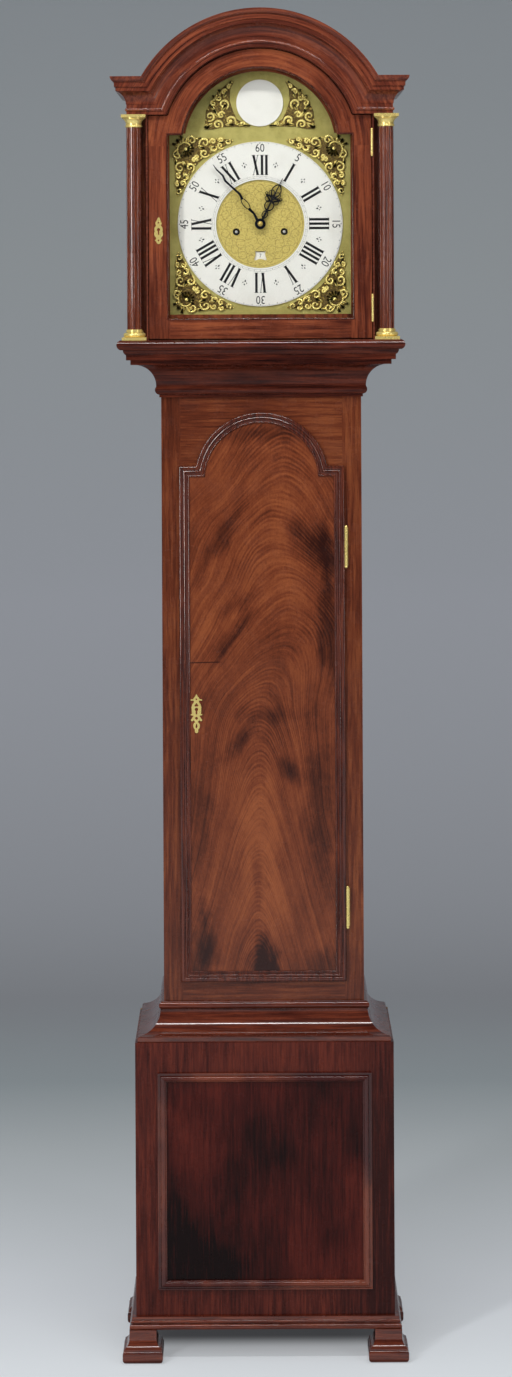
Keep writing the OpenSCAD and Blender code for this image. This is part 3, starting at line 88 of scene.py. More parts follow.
class Signal:
    """A number that a node puts out; Python's operators on it add Math nodes."""

    def __init__(self, paint: "Paint", socket: bpy.types.NodeSocket) -> None:
        self.paint = paint
        self.socket = socket

    def math(self, operation: str, *others: "Signal | float") -> "Signal":
        """A Math node fed by this signal and the others.

        Args:
            operation: The Math node's operation.
            others: The second and third values, as signals or numbers.

        Returns:
            The node's value.
        """
        made = self.paint.node("Math", {"operation": operation}, self, *others)
        return Signal(self.paint, made.outputs[0])

    def __add__(self, other: "Signal | float") -> "Signal":
        """This plus other."""
        return self.math("ADD", other)

    __radd__ = __add__

    def __mul__(self, other: "Signal | float") -> "Signal":
        """This times other."""
        return self.math("MULTIPLY", other)

    __rmul__ = __mul__

    def __sub__(self, other: "Signal | float") -> "Signal":
        """This less other."""
        return self.math("SUBTRACT", other)

    def __rsub__(self, other: float) -> "Signal":
        """Other less this."""
        return self.math("MULTIPLY_ADD", -1.0, other)

    def __truediv__(self, other: "Signal | float") -> "Signal":
        """This over other."""
        return self.math("DIVIDE", other)

    def __abs__(self) -> "Signal":
        """This without its sign."""
        return self.math("ABSOLUTE")

    def __pow__(self, power: float) -> "Signal":
        """This to a power."""
        return self.math("POWER", power)

    def ease(self, low: float, high: float, to_low: float = 0.0, to_high: float = 1.0) -> "Signal":
        """A smooth step from to_low at low to to_high at high.

        Args:
            low: The value at which the step starts.
            high: The value at which it ends.
            to_low: What it gives up to low.
            to_high: What it gives from high.

        Returns:
            The stepped value.
        """
        made = self.paint.node("MapRange", {"interpolation_type": "SMOOTHSTEP"}, self, low, high,
                               to_low, to_high)
        return Signal(self.paint, made.outputs[0])


class Paint:
    """A material under construction: its nodes, and its one Principled shader."""

    def __init__(self, name: str, **fixed: Any) -> None:
        """Starts a material.

        Args:
            name: The finish's name.
            fixed: Values set on the shader's own sockets, with _ for a space.
        """
        self.material = bpy.data.materials.new(name)
        self.material.use_nodes = True
        self.tree = self.material.node_tree
        self.shader = self.tree.nodes["Principled BSDF"]
        for key, value in fixed.items():
            self.shader.inputs[key.replace("_", " ")].default_value = value
        self.place = self.tree.nodes.new("ShaderNodeTexCoord").outputs["Object"]
        split = self.node("SeparateXYZ", {}, self.place)
        self.x, self.y, self.z = (Signal(self, out) for out in split.outputs)

    def node(self, kind: str, settings: dict[str, Any], *values: Any) -> bpy.types.ShaderNode:
        """Adds a node.

        Args:
            kind: The node's type, without ShaderNode.
            settings: Its properties; "stops" holds a ramp's (place, colour) pairs.
            values: What its sockets get in order: a signal, a socket, a value, or None.

        Returns:
            The node.
        """
        made = self.tree.nodes.new("ShaderNode" + kind)
        for key, value in settings.items():
            if key != "stops":
                setattr(made, key, value)
                continue
            ramp = made.color_ramp
            for index, (place, colour) in enumerate(value):
                stop = ramp.elements[index] if index < 2 else ramp.elements.new(place)
                stop.position = place
                stop.color = (*colour, 1.0)
        sockets = [s for s in made.inputs if s.enabled]
        for socket, value in zip(sockets, values):
            if isinstance(value, Signal):
                value = value.socket
            if isinstance(value, bpy.types.NodeSocket):
                self.tree.links.new(value, socket)
            elif value is not None:
                socket.default_value = value
        return made

    def stretched(self, scale: Sequence[float], turn: Point = (0, 0, 0),
                  place: Any = None) -> bpy.types.NodeSocket:
        """Object coordinates, scaled per axis and turned."""
        made = self.node("Mapping", {}, place or self.place, (0, 0, 0), turn, tuple(scale))
        return made.outputs[0]

    def point(self, x: Signal | float, y: Signal | float,
              z: Signal | float) -> bpy.types.NodeSocket:
        """A point made of three signals."""
        return self.node("CombineXYZ", {}, x, y, z).outputs[0]

    def within(self, half_width: float, low: float, high: float) -> Signal:
        """1 inside an upright rectangle about the clock's axis, 0 outside it."""
        return abs(self.x).math("LESS_THAN", half_width) * self.z.math("GREATER_THAN", low) \
            * self.z.math("LESS_THAN", high)

    def noise(self, place: Any, scale: float, detail: float = 3.0, rough: float = 0.55,
              distortion: float = 0.0) -> Signal:
        """Soft noise from 0 to 1 at a place."""
        made = self.node("TexNoise", {})
        self.tree.links.new(place, made.inputs["Vector"])
        for key, value in (("Scale", scale), ("Detail", detail), ("Roughness", rough),
                           ("Distortion", distortion)):
            made.inputs[key].default_value = value
        return Signal(self, made.outputs[0])

    def ramp(self, amount: Signal, stops: Sequence[tuple[float, Rgb]]) -> bpy.types.NodeSocket:
        """A colour taken from stops by an amount."""
        return self.node("ValToRGB", {"stops": stops}, amount).outputs[0]

    def mix(self, amount: Signal | float, first: Any, second: Any) -> bpy.types.NodeSocket:
        """Two colours, blended by an amount."""
        pair = [(*c, 1.0) if isinstance(c, tuple) else c for c in (first, second)]
        return self.node("Mix", {"data_type": "RGBA"}, amount, *pair).outputs[2]

    def show(self, amount: Any, *shaders: bpy.types.ShaderNode) -> bpy.types.ShaderNode:
        """Two shaders, blended by an amount and shown by the material."""
        blend = self.node("MixShader", {}, amount, *[shader.outputs[0] for shader in shaders])
        self.tree.links.new(blend.outputs[0], self.tree.nodes["Material Output"].inputs["Surface"])
        return blend

    def wear(self, colour: bpy.types.NodeSocket, roughness: Signal | None = None,
             height: Signal | None = None, depth: float = 0.0005, strength: float = 0.5,
             coat: Signal | None = None) -> bpy.types.Material:
        """Joins what varies to the shader and ends the material.

        Args:
            colour: The base colour's socket.
            roughness: What varies the roughness.
            height: What raises the surface.
            depth: How far it is raised, in metres.
            strength: How strongly that shows.
            coat: What varies the varnish's weight.

        Returns:
            The material.
        """
        link = self.tree.links.new
        link(colour, self.shader.inputs["Base Color"])
        for signal, name in ((roughness, "Roughness"), (coat, "Coat Weight")):
            if signal is not None:
                link(signal.socket, self.shader.inputs[name])
        if height is not None:
            bump = self.tree.nodes.new("ShaderNodeBump")
            bump.inputs["Strength"].default_value = strength
            bump.inputs["Distance"].default_value = depth
            link(height.socket, bump.inputs["Height"])
            link(bump.outputs[0], self.shader.inputs["Normal"])
        return self.material


# ---- finishes ----

@dataclass(frozen=True)
class Mahogany:
    """French polished mahogany of plain figure, its fibres along one axis.

    Where `arch` is given, fibres that run across bend round that centre above its height.
    `rails` are the half width, foot and head of each part whose fibres run the other way.
    `field` is the half width, foot and head of a panel's field, outside which the moulding
    is lighter. `dusk` is painted shade, darker along a direction: its x and z parts, start,
    end and depth.
    """

    name: str
    grain: Grain = Grain.UPRIGHT
    light: Rgb = srgb(126, 63, 36)
    middle: Rgb = srgb(98, 44, 26)
    dark: Rgb = srgb(60, 23, 15)
    blotch: float = 0.35
    varnish: float = 0.25
    gloss: float = 0.2
    rails: tuple[tuple[float, float, float], ...] = ()
    arch: float = 0.0
    field: tuple[float, float, float] = (0.0, 0.0, 0.0)
    surround: Rgb = srgb(116, 56, 38)
    dusk: tuple[float, float, float, float, float] = (0.0, 0.0, 0.0, 1.0, 0.0)
    coat_ior: float = 1.5
    haze: float = 0.07
    phase: float = 0.0

    def streaks(self, paint: Paint, grain: Grain) -> tuple[Signal, Signal]:
        """The fibres' broad streaks and fine pores along a grain."""
        turn = (0.006, 0.01 + self.phase * 0.003, -0.008)
        start = paint.place
        if self.arch and grain is Grain.ACROSS:
            up = paint.z - self.arch
            above = up.math("GREATER_THAN", 0.0)
            radius = (paint.x * paint.x + up * up) ** 0.5
            along = paint.x.math("ARCTAN2", up) * 0.17
            start = paint.point(paint.x + above * (along - paint.x), paint.y,
                                paint.z + above * (radius - up))
        place = paint.stretched(grain.value, turn, start)
        wander = paint.noise(paint.stretched([axis ** 0.5 for axis in grain.value]), 9, 2)
        bent = paint.node("VectorMath", {"operation": "ADD"}, place,
                          paint.point(wander * 0.010, wander * 0.010, wander * 0.010)).outputs[0]
        broad = paint.noise(bent, 150 + 17 * self.phase, 5, 0.66)
        pores = paint.noise(bent, 1100, 3, 0.65)
        return broad, pores

    def paint(self) -> bpy.types.Material:
        """Makes the material."""
        paint = Paint(self.name, IOR=1.5, Coat_Weight=self.varnish, Coat_Roughness=self.haze,
                      Specular_IOR_Level=self.gloss, Coat_IOR=self.coat_ior)
        broad, pores = self.streaks(paint, self.grain)
        for rail in self.rails:
            other = Grain.ACROSS if self.grain is Grain.UPRIGHT else Grain.UPRIGHT
            wide, fine = self.streaks(paint, other)
            inside = paint.within(*rail)
            broad = broad + inside * (wide - broad)
            pores = pores + inside * (fine - pores)
        cloud = paint.noise(paint.stretched((1.0, 1.0, 0.6), (0, 0, self.phase)), 6.5, 3, 0.6)
        # painted shade: the colour darkened along a direction
        side, rise, start, end, depth = self.dusk
        shade = (paint.x * side + paint.z * rise).ease(start, end) * depth
        tone = (broad * (1 - self.blotch) + cloud * self.blotch).ease(0.30, 0.70) - shade
        colour = paint.ramp(tone, ((0.0, self.dark), (1.0, self.light), (0.5, self.middle)))
        facing = paint.node("SeparateXYZ", {}, paint.node("NewGeometry", {}).outputs["Normal"])
        upward = Signal(paint, facing.outputs[2]).ease(-0.3, 0.06, 0.12, 1.0)
        coat = upward * self.varnish
        if self.field[0]:
            border = 1 - paint.within(*self.field)
            colour = paint.mix(border, colour,
                               paint.mix(cloud.ease(0.4, 0.6), self.middle, self.surround))
            coat = upward * (border * 0.8 + 0.1)
        open_pores = pores.ease(0.55, 0.68)
        colour = paint.mix(open_pores * 0.6, colour, self.dark)
        ageing = paint.noise(paint.place, 45, 3).ease(0.35, 0.75, 0.20, 0.34)
        return paint.wear(colour, roughness=ageing, height=1 - open_pores, depth=0.00006,
                          strength=0.3 - 0.3 * self.varnish, coat=coat)


@dataclass(frozen=True)
class FlameMahogany:
    """A veneer cut through a crotch: fine arches, one above another, broader near the top.

    Each row of `spots` is a patch's x, z, half length, half width and tilt, and how much it
    lightens, or darkens where that is less than 0.
    """

    name: str
    light: Rgb = srgb(150, 82, 47)
    middle: Rgb = srgb(113, 55, 32)
    dark: Rgb = srgb(44, 18, 13)
    spots: Table = (
        (-0.062, 1.365, 0.065, 0.017, 60, -0.17), (0.088, 1.340, 0.075, 0.034, -62, -0.18),
        (0.112, 1.230, 0.130, 0.022, 90, -0.16), (-0.028, 1.252, 0.055, 0.014, 32, -0.12),
        (-0.054, 1.185, 0.075, 0.020, 52, -0.15), (-0.040, 1.015, 0.050, 0.016, 52, -0.13),
        (0.048, 0.965, 0.034, 0.016, -60, -0.18), (0.098, 0.890, 0.180, 0.030, 92, -0.15),
        (-0.102, 0.930, 0.170, 0.024, 88, -0.12), (-0.010, 0.790, 0.055, 0.010, 92, -0.10),
        (0.002, 0.640, 0.060, 0.024, 90, -0.24), (0.000, 0.615, 0.040, 0.050, 0, -0.16),
        (-0.104, 0.668, 0.070, 0.034, 84, -0.25), (0.100, 0.640, 0.060, 0.034, 0, -0.14),
        (0.018, 1.530, 0.090, 0.020, 0, -0.12), (0.018, 1.060, 0.060, 0.018, 0, -0.09),
        (-0.006, 0.850, 0.130, 0.040, 90, 0.10), (0.022, 0.760, 0.070, 0.026, 100, 0.08),
        (-0.080, 1.300, 0.120, 0.036, 80, 0.05), (0.020, 1.270, 0.060, 0.070, 0, 0.05))

    def spot(self, paint: Paint, x: float, z: float, long: float, wide: float,
             tilt: float) -> Signal:
        """A soft ragged patch, 1 in its middle and 0 outside.

        Args:
            paint: The material that it belongs to.
            x: Its middle, across.
            z: Its middle, up.
            long: Half its length.
            wide: Half its width.
            tilt: Its length's angle from the X axis, in degrees.

        Returns:
            How strongly it shows.
        """
        turn = math.radians(tilt)
        right, up = paint.x - x, paint.z - z
        along = (right * math.cos(turn) + up * math.sin(turn)) / long
        aside = (up * math.cos(turn) - right * math.sin(turn)) / wide
        away = (along * along + aside * aside) ** 0.5
        ragged = paint.noise(paint.stretched((1.0, 0.1, 0.45)), 34, 4, 0.65) * 1.8 - 0.9
        return (away + ragged).ease(0.0, 1.35, 1.0, 0.0)

    def paint(self) -> bpy.types.Material:
        """Makes the material."""
        paint = Paint(self.name, IOR=1.5, Coat_Weight=0.25, Coat_Roughness=0.08,
                      Specular_IOR_Level=0.2)
        drift = paint.noise(paint.stretched((1.5, 0.1, 0.8)), 5.0, 2) - 0.5
        shiver = paint.noise(paint.stretched((1.0, 0.1, 1.0)), 45, 2) - 0.5
        axis = paint.z.ease(1.05, 1.22, -0.008, 0.042) - paint.z.ease(1.27, 1.36, 0.0, 0.020) \
            + paint.z.ease(1.38, 1.46, 0.0, 0.014)
        across = paint.x - axis - drift * 0.020
        round_r = paint.z.ease(0.85, 1.25, 0.028, 0.062)
        steep = paint.z.ease(0.85, 1.25, 4.0, 1.75)
        fall = ((across * across + round_r * round_r) ** 0.5 - round_r) * steep
        arch = paint.z + fall + drift * 0.03 + shiver * 0.0035
        ripple = (arch * 790 + (paint.noise(paint.place, 16, 2) * 9)).math("SINE")
        faded = paint.noise(paint.stretched((1.0, 0.1, 0.7)), 17, 2).ease(0.38, 0.62, 0.25, 1.0)
        lines = paint.noise(paint.point(across * 16, 0.0, arch * 190), 1.0, 3, 0.6, 0.15)
        bands = paint.noise(paint.point(across * 8, 3.0, arch * 45), 1.0, 3, 0.6, 0.3)
        fine = paint.noise(paint.point(across * 260, 0.0, arch * 620), 1.0, 3, 0.65)
        grit = paint.noise(paint.stretched((1.0, 0.1, 0.35)), 420, 3, 0.7)
        cloud = paint.noise(paint.stretched((1.4, 0.1, 0.7)), 9.0, 3, 0.6)
        flank = (abs(across) - 0.055).ease(0.0, 0.05)
        tone = lines * 0.30 + bands * 0.26 + cloud * 0.26 + grit * 0.16 + 0.035 \
            + ripple * faded * 0.036 * (1 - flank * 0.7)
        for *patch, depth in self.spots:
            tone = tone + self.spot(paint, *patch) * depth
        colour = paint.ramp(tone.ease(0.27, 0.75), ((0.0, self.dark), (1.0, self.light),
                                                    (0.52, self.middle)))
        colour = paint.mix(fine.ease(0.54, 0.70) * 0.45, colour, self.dark)
        scar = (abs(paint.z - 1.1505 - paint.x * 0.02) * 1000).ease(0.4, 1.6, 1.0, 0.0) \
            * paint.x.ease(-0.075, -0.066, 1.0, 0.0)
        colour = paint.mix(scar * 0.85, colour, self.dark)
        ageing = paint.noise(paint.place, 40, 3).ease(0.35, 0.75, 0.20, 0.32)
        return paint.wear(colour, roughness=ageing, height=1 - fine, depth=0.0001, strength=0.2)


@dataclass(frozen=True)
class Oak:
    """Unpolished oak that nobody sees, with darker rays and a dusty surface."""

    name: str
    grain: Grain = Grain.UPRIGHT

    def paint(self) -> bpy.types.Material:
        """Makes the material."""
        paint = Paint(self.name, IOR=1.45, Specular_IOR_Level=0.25)
        place = paint.stretched(self.grain.value)
        rings = paint.noise(place, 90, 4, 0.6, 0.4)
        rays = paint.noise(place, 700, 2)
        cloud = paint.noise(paint.place, 5, 3)
        colour = paint.ramp((rings * 0.6 + cloud * 0.4).ease(0.3, 0.7),
                            ((0.0, srgb(92, 64, 40)), (1.0, srgb(166, 128, 86))))
        colour = paint.mix(rays.ease(0.58, 0.72) * 0.5, colour, srgb(58, 38, 22))
        return paint.wear(colour, roughness=cloud.ease(0.2, 0.8, 0.55, 0.75), height=1 - rays,
                          depth=0.0002, strength=0.4)


@dataclass(frozen=True)
class Brass:
    """Brass of one polish, tarnished in patches."""

    name: str
    bright: Rgb = srgb(226, 196, 112)
    dull: Rgb = srgb(168, 136, 62)
    polish: float = 0.22
    tarnish: float = 0.5
    metal: float = 0.85

    def paint(self) -> bpy.types.Material:
        """Makes the material."""
        paint = Paint(self.name, Metallic=self.metal, IOR=1.5)
        cloud = paint.noise(paint.place, 60, 4, 0.6)
        specks = paint.noise(paint.place, 900, 2)
        colour = paint.mix(cloud.ease(0.35, 0.75) * self.tarnish, self.bright, self.dull)
        height = specks * 0.6 + paint.noise(paint.place, 260, 3) * 0.4
        return paint.wear(colour, roughness=cloud.ease(0.3, 0.8, self.polish, self.polish + 0.16),
                          height=height, depth=0.0002, strength=0.15)


@dataclass(frozen=True)
class CastBrass:
    """Cast brass, bright on its raised scrolls and dark with old lacquer in its hollows."""

    name: str
    bright: Rgb = srgb(250, 228, 138)
    middle: Rgb = srgb(206, 174, 82)
    hollow: Rgb = srgb(84, 64, 26)
    hollow_y: float = -0.0606
    raised_y: float = -0.0634

    def paint(self) -> bpy.types.Material:
        """Makes the material."""
        paint = Paint(self.name, Metallic=0.5, IOR=1.5)
        leafage = paint.noise(paint.place, 330, 3, 0.6, 1.2)
        grain = paint.noise(paint.place, 1300, 2)
        raised = (paint.y - (leafage - 0.5) * 0.0042).ease(self.raised_y, self.hollow_y, 1.0, 0.0)
        colour = paint.ramp(raised, ((0.0, self.hollow), (1.0, self.bright), (0.45, self.middle)))
        return paint.wear(colour, roughness=raised * -0.2 + grain * 0.1 + 0.42,
                          height=leafage + grain * 0.15, depth=0.0014, strength=0.6)


@dataclass(frozen=True)
class DialBrass:
    """The dial sheet: brushed at the edge, engraved and matted inside the hour ring."""

    name: str
    matted_r: float = 0.0725
    rings: Table = ((0.060, 0.0065, 12, 0.0), (0.060, 0.0065, 12, math.pi), (0.046, 0.008, 8, 0.0),
                    (0.046, 0.008, 8, math.pi), (0.029, 0.006, 8, 0.4), (0.0705, 0.0, 1, 0.0),
                    (0.0175, 0.002, 16, 0.0))

    def petal(self, radius: Signal, turn: Signal, middle: float, swing: float, count: int,
              phase: float) -> Signal:
        """An engraved line that waves round the centre as a ring of leaves."""
        wave = (turn * count + phase).math("COSINE")
        return (abs(radius - wave * swing - middle) * 1000).ease(0.15, 0.75, 1.0, 0.0)

    def paint(self) -> bpy.types.Material:
        """Makes the material."""
        paint = Paint(self.name, Metallic=0.35, IOR=1.5)
        height = paint.z - DIAL_Z
        radius = (paint.x * paint.x + height * height) ** 0.5
        turn = paint.x.math("ARCTAN2", height)
        matted = radius.ease(self.matted_r - 0.0005, self.matted_r + 0.0005, 1.0, 0.0)
        cell = paint.node("TexVoronoi", {"feature": "F1"}, paint.place, None, 1000.0)
        punched = Signal(paint, cell.outputs[0])
        brushed = paint.noise(paint.stretched((0.05, 1.0, 1.0)), 1500, 2)
        cloud = paint.noise(paint.place, 38, 4, 0.6)
        flecks = paint.noise(paint.place, 300, 3, 0.7)
        cuts, *others = [self.petal(radius, turn, *ring) for ring in self.rings]
        for other in others:
            cuts = cuts.math("MAXIMUM", other)
        cuts = cuts * matted
        sheen = paint.mix(cloud.ease(0.3, 0.75), srgb(202, 188, 112), srgb(170, 156, 84))
        dots = paint.mix(punched.ease(0.2, 0.75) * 0.5 + flecks.ease(0.45, 0.7) * 0.45,
                         srgb(244, 224, 132), srgb(166, 138, 62))
        colour = paint.mix(cuts * 0.55, paint.mix(matted, sheen, dots), srgb(104, 82, 34))
        relief = matted * (1 - punched) + (1 - matted) * brushed * 0.2 - cuts * 0.8
        rough = matted * 0.10 + cloud.ease(0.3, 0.8, 0.36, 0.46)
        return paint.wear(colour, roughness=rough, height=relief, depth=0.0003, strength=0.6)


@dataclass(frozen=True)
class Silvered:
    """Silvered brass: a matt, nearly white face with a faint warm cloud and fine brushing."""

    name: str
    pale: Rgb = srgb(240, 235, 228)
    warm: Rgb = srgb(218, 212, 202)

    def paint(self) -> bpy.types.Material:
        """Makes the material."""
        paint = Paint(self.name, Metallic=0.15, IOR=1.5, Specular_IOR_Level=0.5)
        cloud = paint.noise(paint.place, 24, 4, 0.6)
        brushed = paint.noise(paint.stretched((0.03, 1.0, 1.0)), 1800, 2)
        colour = paint.mix(cloud.ease(0.4, 0.8) * 0.5, self.pale, self.warm)
        return paint.wear(colour, roughness=cloud.ease(0.3, 0.8, 0.34, 0.44), height=brushed,
                          depth=0.0001, strength=0.12)


@dataclass(frozen=True)
class Steel:
    """Steel, either blued to near black or left bright."""

    name: str
    bright: Rgb = srgb(34, 38, 56)
    dull: Rgb = srgb(16, 17, 24)
    metal: float = 0.8
    polish: float = 0.28

    def paint(self) -> bpy.types.Material:
        """Makes the material."""
        paint = Paint(self.name, Metallic=self.metal, IOR=1.5)
        cloud = paint.noise(paint.place, 80, 3)
        scratches = paint.noise(paint.stretched((1.0, 1.0, 0.08)), 1400, 2)
        colour = paint.mix(cloud.ease(0.3, 0.7), self.bright, self.dull)
        return paint.wear(colour, roughness=cloud.ease(0.3, 0.7, self.polish, self.polish + 0.1),
                          height=scratches, depth=0.0001, strength=0.15)


@dataclass(frozen=True)
class Wax:
    """Black engraver's wax in the dial's cuts, a little uneven; also painted shade in winding
    holes.
    """

    name: str
    tone: Rgb = srgb(22, 21, 24)

    def paint(self) -> bpy.types.Material:
        """Makes the material."""
        paint = Paint(self.name, IOR=1.45, Specular_IOR_Level=0.3)
        cloud = paint.noise(paint.place, 400, 3)
        colour = paint.mix(cloud.ease(0.45, 0.8) * 0.3, self.tone, srgb(70, 68, 70))
        return paint.wear(colour, roughness=cloud.ease(0.3, 0.7, 0.35, 0.5), height=cloud,
                          depth=0.0001, strength=0.2)


@dataclass(frozen=True)
class Gut:
    """Twisted gut line, honey coloured, with its lay as a fine spiral."""

    name: str

    def paint(self) -> bpy.types.Material:
        """Makes the material."""
        paint = Paint(self.name, IOR=1.45, Specular_IOR_Level=0.4)
        twist = ((paint.x + paint.y) * 2100 + paint.z * 1900).math("SINE")
        cloud = paint.noise(paint.place, 60, 2)
        colour = paint.mix(twist.ease(-0.6, 0.8), srgb(150, 112, 60), srgb(196, 160, 100))
        return paint.wear(colour, roughness=cloud.ease(0.3, 0.7, 0.4, 0.55), height=twist,
                          depth=0.0001, strength=0.4)


@dataclass(frozen=True)
class ClearGlass:
    """Old sheet glass with the faintest ripple; light and shadow pass through it."""

    name: str

    def paint(self) -> bpy.types.Material:
        """Makes the material."""
        paint = Paint(self.name, Roughness=0.02, IOR=1.45, Transmission_Weight=1.0)
        ripple = paint.noise(paint.place, 9, 2)
        colour = paint.mix(ripple.ease(0.3, 0.7), (0.97, 0.99, 0.98), (0.99, 1.0, 0.99))
        material = paint.wear(colour, height=ripple, depth=0.0002, strength=0.04)
        clear = paint.node("BsdfTransparent", {}, (0.97, 0.98, 0.975, 1.0))
        shadow = Signal(paint, paint.node("LightPath", {}).outputs["Is Shadow Ray"])
        paint.show(shadow * 0.12 + 0.88, paint.shader, clear)
        return material


@dataclass(frozen=True)
class StudioPaper:
    """Studio background paper, seen from its face alone: painted light, pale in front, grey above.

    `stops` are its colours along the sheet, `veil` is how much of its own colour it shows
    whatever the light, and `shade` is its colour where the clock keeps the light from it.
    """

    name: str
    stops: tuple[tuple[float, Rgb], ...]
    start: float = -0.5
    length: float = 6.5
    veil: float = 0.35
    shade: Rgb = srgb(30, 28, 34)

    def paint(self) -> bpy.types.Material:
        """Makes the material: lit paper, whose own colour partly fills its shadows."""
        paint = Paint(self.name, Roughness=0.95, IOR=1.3, Specular_IOR_Level=0.05)
        along = (paint.y + paint.z - self.start) / self.length
        mottle = paint.noise(paint.place, 1.6, 2) * 0.008 - 0.004
        # painted light: the stops grow greyer along the sheet, away from the lamps' pool in front
        colour = paint.ramp(along + mottle, self.stops)
        under = abs(paint.x).ease(0.18, 0.23, 1.0, 0.0) * paint.y.ease(-0.050, 0.015) \
            * paint.y.ease(0.06, 0.16, 1.0, 0.0)
        colour = paint.mix(under * 0.85, colour, self.shade)
        material = paint.wear(colour)
        camera = Signal(paint, paint.node("LightPath", {}).outputs["Is Camera Ray"])
        filled = paint.show(camera * self.veil, paint.shader, paint.node("Emission", {}, colour))
        side = paint.node("NewGeometry", {}).outputs["Backfacing"]
        paint.show(side, filled, paint.node("BsdfTransparent", {}))
        return material


# ---- working on meshes ----

def deselect() -> None:
    """Leaves nothing selected, so that an operator acts on the new piece alone."""
    if bpy.context.object and bpy.context.object.mode != "OBJECT":
        bpy.ops.object.mode_set(mode="OBJECT")
    bpy.ops.object.select_all(action="DESELECT")


def pick_only(*pieces: bpy.types.Object) -> None:
    """Selects these pieces alone, the first of them active."""
    deselect()
    for piece in pieces:
        piece.select_set(True)
    bpy.context.view_layer.objects.active = pieces[0]


def face_out() -> None:
    """Turns all of the edited piece's faces outwards, and leaves edit mode."""
    bpy.ops.mesh.select_all(action="SELECT")
    bpy.ops.mesh.normals_make_consistent(inside=False)
    bpy.ops.object.mode_set(mode="OBJECT")


def corner_ring(count: int, fill: str = "NOTHING") -> bpy.types.Object:
    """A new closed line of corners, in edit mode, for a shape to be drawn with."""
    deselect()
    bpy.ops.mesh.primitive_circle_add(vertices=count, radius=1, fill_type=fill)
    bpy.ops.object.mode_set(mode="EDIT")
    return bpy.context.object


def spaced(sweep: float, count: int, start: float = 0.0) -> list[float]:
    """The angles of an arc in equal steps, with both of its ends."""
    return [start + sweep * i / count for i in range(count + 1)]


def select_faces(piece: bpy.types.Object, wanted: FacePick) -> None:
    """Goes into edit mode on a piece with only the wanted faces selected."""
    pick_only(piece)
    bpy.ops.object.mode_set(mode="EDIT")
    bpy.ops.mesh.select_mode(type="FACE")
    bpy.ops.mesh.select_all(action="DESELECT")
    mesh = bmesh.from_edit_mesh(piece.data)
    for face in mesh.faces:
        face.select_set(wanted(face))
    mesh.select_flush_mode()
    bmesh.update_edit_mesh(piece.data)


def settle(piece: bpy.types.Object) -> bpy.types.Object:
    """Puts a piece's place, turn and size into its mesh."""
    pick_only(piece)
    bpy.ops.object.transform_apply(location=True, rotation=True, scale=True)
    return piece


def modify(piece: bpy.types.Object, kind: str, **settings: Any) -> bpy.types.Object:
    """Adds a modifier to a piece and applies it."""
    pick_only(piece)
    modifier = piece.modifiers.new(kind.lower(), kind)
    for key, value in settings.items():
        setattr(modifier, key, value)
    bpy.ops.object.modifier_apply(modifier=modifier.name)
    return piece


def soften(piece: bpy.types.Object, width: float, segments: int = 2,
           angle: float = 0.6) -> bpy.types.Object:
    """Rounds a piece's sharp edges and shades it smooth between them."""
    modify(piece, "BEVEL", width=width, segments=segments, limit_method="ANGLE",
           angle_limit=angle, harden_normals=False)
    return smooth(piece)


def smooth(piece: bpy.types.Object, angle: float = 0.7) -> bpy.types.Object:
    """Shades a piece smooth, except at edges sharper than an angle."""
    pick_only(piece)
    bpy.ops.object.shade_smooth_by_angle(angle=angle)
    return piece


def join(pieces: Sequence[bpy.types.Object]) -> bpy.types.Object:
    """Makes several pieces into the first."""
    pick_only(*pieces)
    if len(pieces) > 1:
        bpy.ops.object.join()
    return pieces[0]


def copy_of(piece: bpy.types.Object, place: Matrix) -> bpy.types.Object:
    """A copy of a piece with its own mesh, moved by a matrix about the origin."""
    pick_only(piece)
    bpy.ops.object.duplicate(linked=False)
    made = bpy.context.object
    made.matrix_world = place @ made.matrix_world
    settle(made)
    if place.determinant() < 0:
        bpy.ops.object.mode_set(mode="EDIT")
        face_out()
    return made


def outline_plate(points: Sequence[tuple[float, float]], face_y: float,
                  depth: float) -> bpy.types.Object:
    """A plate cut to an outline that is seen from the front.

    Args:
        points: The outline's x and z, counter-clockwise as seen from the front.
        face_y: Where its front face lies.
        depth: Its thickness, backwards from there.

    Returns:
        The plate.
    """
    plate = corner_ring(len(points), "NGON")
    mesh = bmesh.from_edit_mesh(plate.data)
    for vertex, (x, z) in zip(mesh.verts, points):
        vertex.co = (x, face_y, z)
    bmesh.update_edit_mesh(plate.data)
    bpy.ops.mesh.select_all(action="SELECT")
    bpy.ops.mesh.extrude_region_move(TRANSFORM_OT_translate={"value": (0, depth, 0)})
    face_out()
    return plate


def turned(profile: Sequence[tuple[float, float]], centre: Point, axis: Point = (0, 0, 1),
           steps: int = 32) -> bpy.types.Object:
    """A solid turned from a profile of radius and height along an axis.

    Args:
        profile: Radius and height pairs, from one end to the other.
        centre: Where height 0 lies.
        axis: The way that height grows.
        steps: How many facets go round.

    Returns:
        The turned piece.
    """
    piece = corner_ring(len(profile))
    mesh = bmesh.from_edit_mesh(piece.data)
    corners = sorted(mesh.verts, key=lambda v: v.index)
    for vertex, (radius, height) in zip(corners, profile):
        vertex.co = (radius, 0, height)
    last = {corners[0].index, corners[-1].index}
    for edge in mesh.edges:
        edge.select_set({v.index for v in edge.verts} == last)
    bmesh.update_edit_mesh(piece.data)
    bpy.ops.mesh.delete(type="EDGE")
    bpy.ops.mesh.select_all(action="SELECT")
    bpy.ops.mesh.spin(steps=steps, angle=math.tau, center=(0, 0, 0), axis=(0, 0, 1))
    bpy.ops.mesh.select_all(action="SELECT")
    bpy.ops.mesh.remove_doubles(threshold=1e-6)
    face_out()
    turn = Vector((0, 0, 1)).rotation_difference(Vector(axis)).to_matrix().to_4x4()
    piece.matrix_world = Matrix.Translation(centre) @ turn
    return smooth(settle(piece))


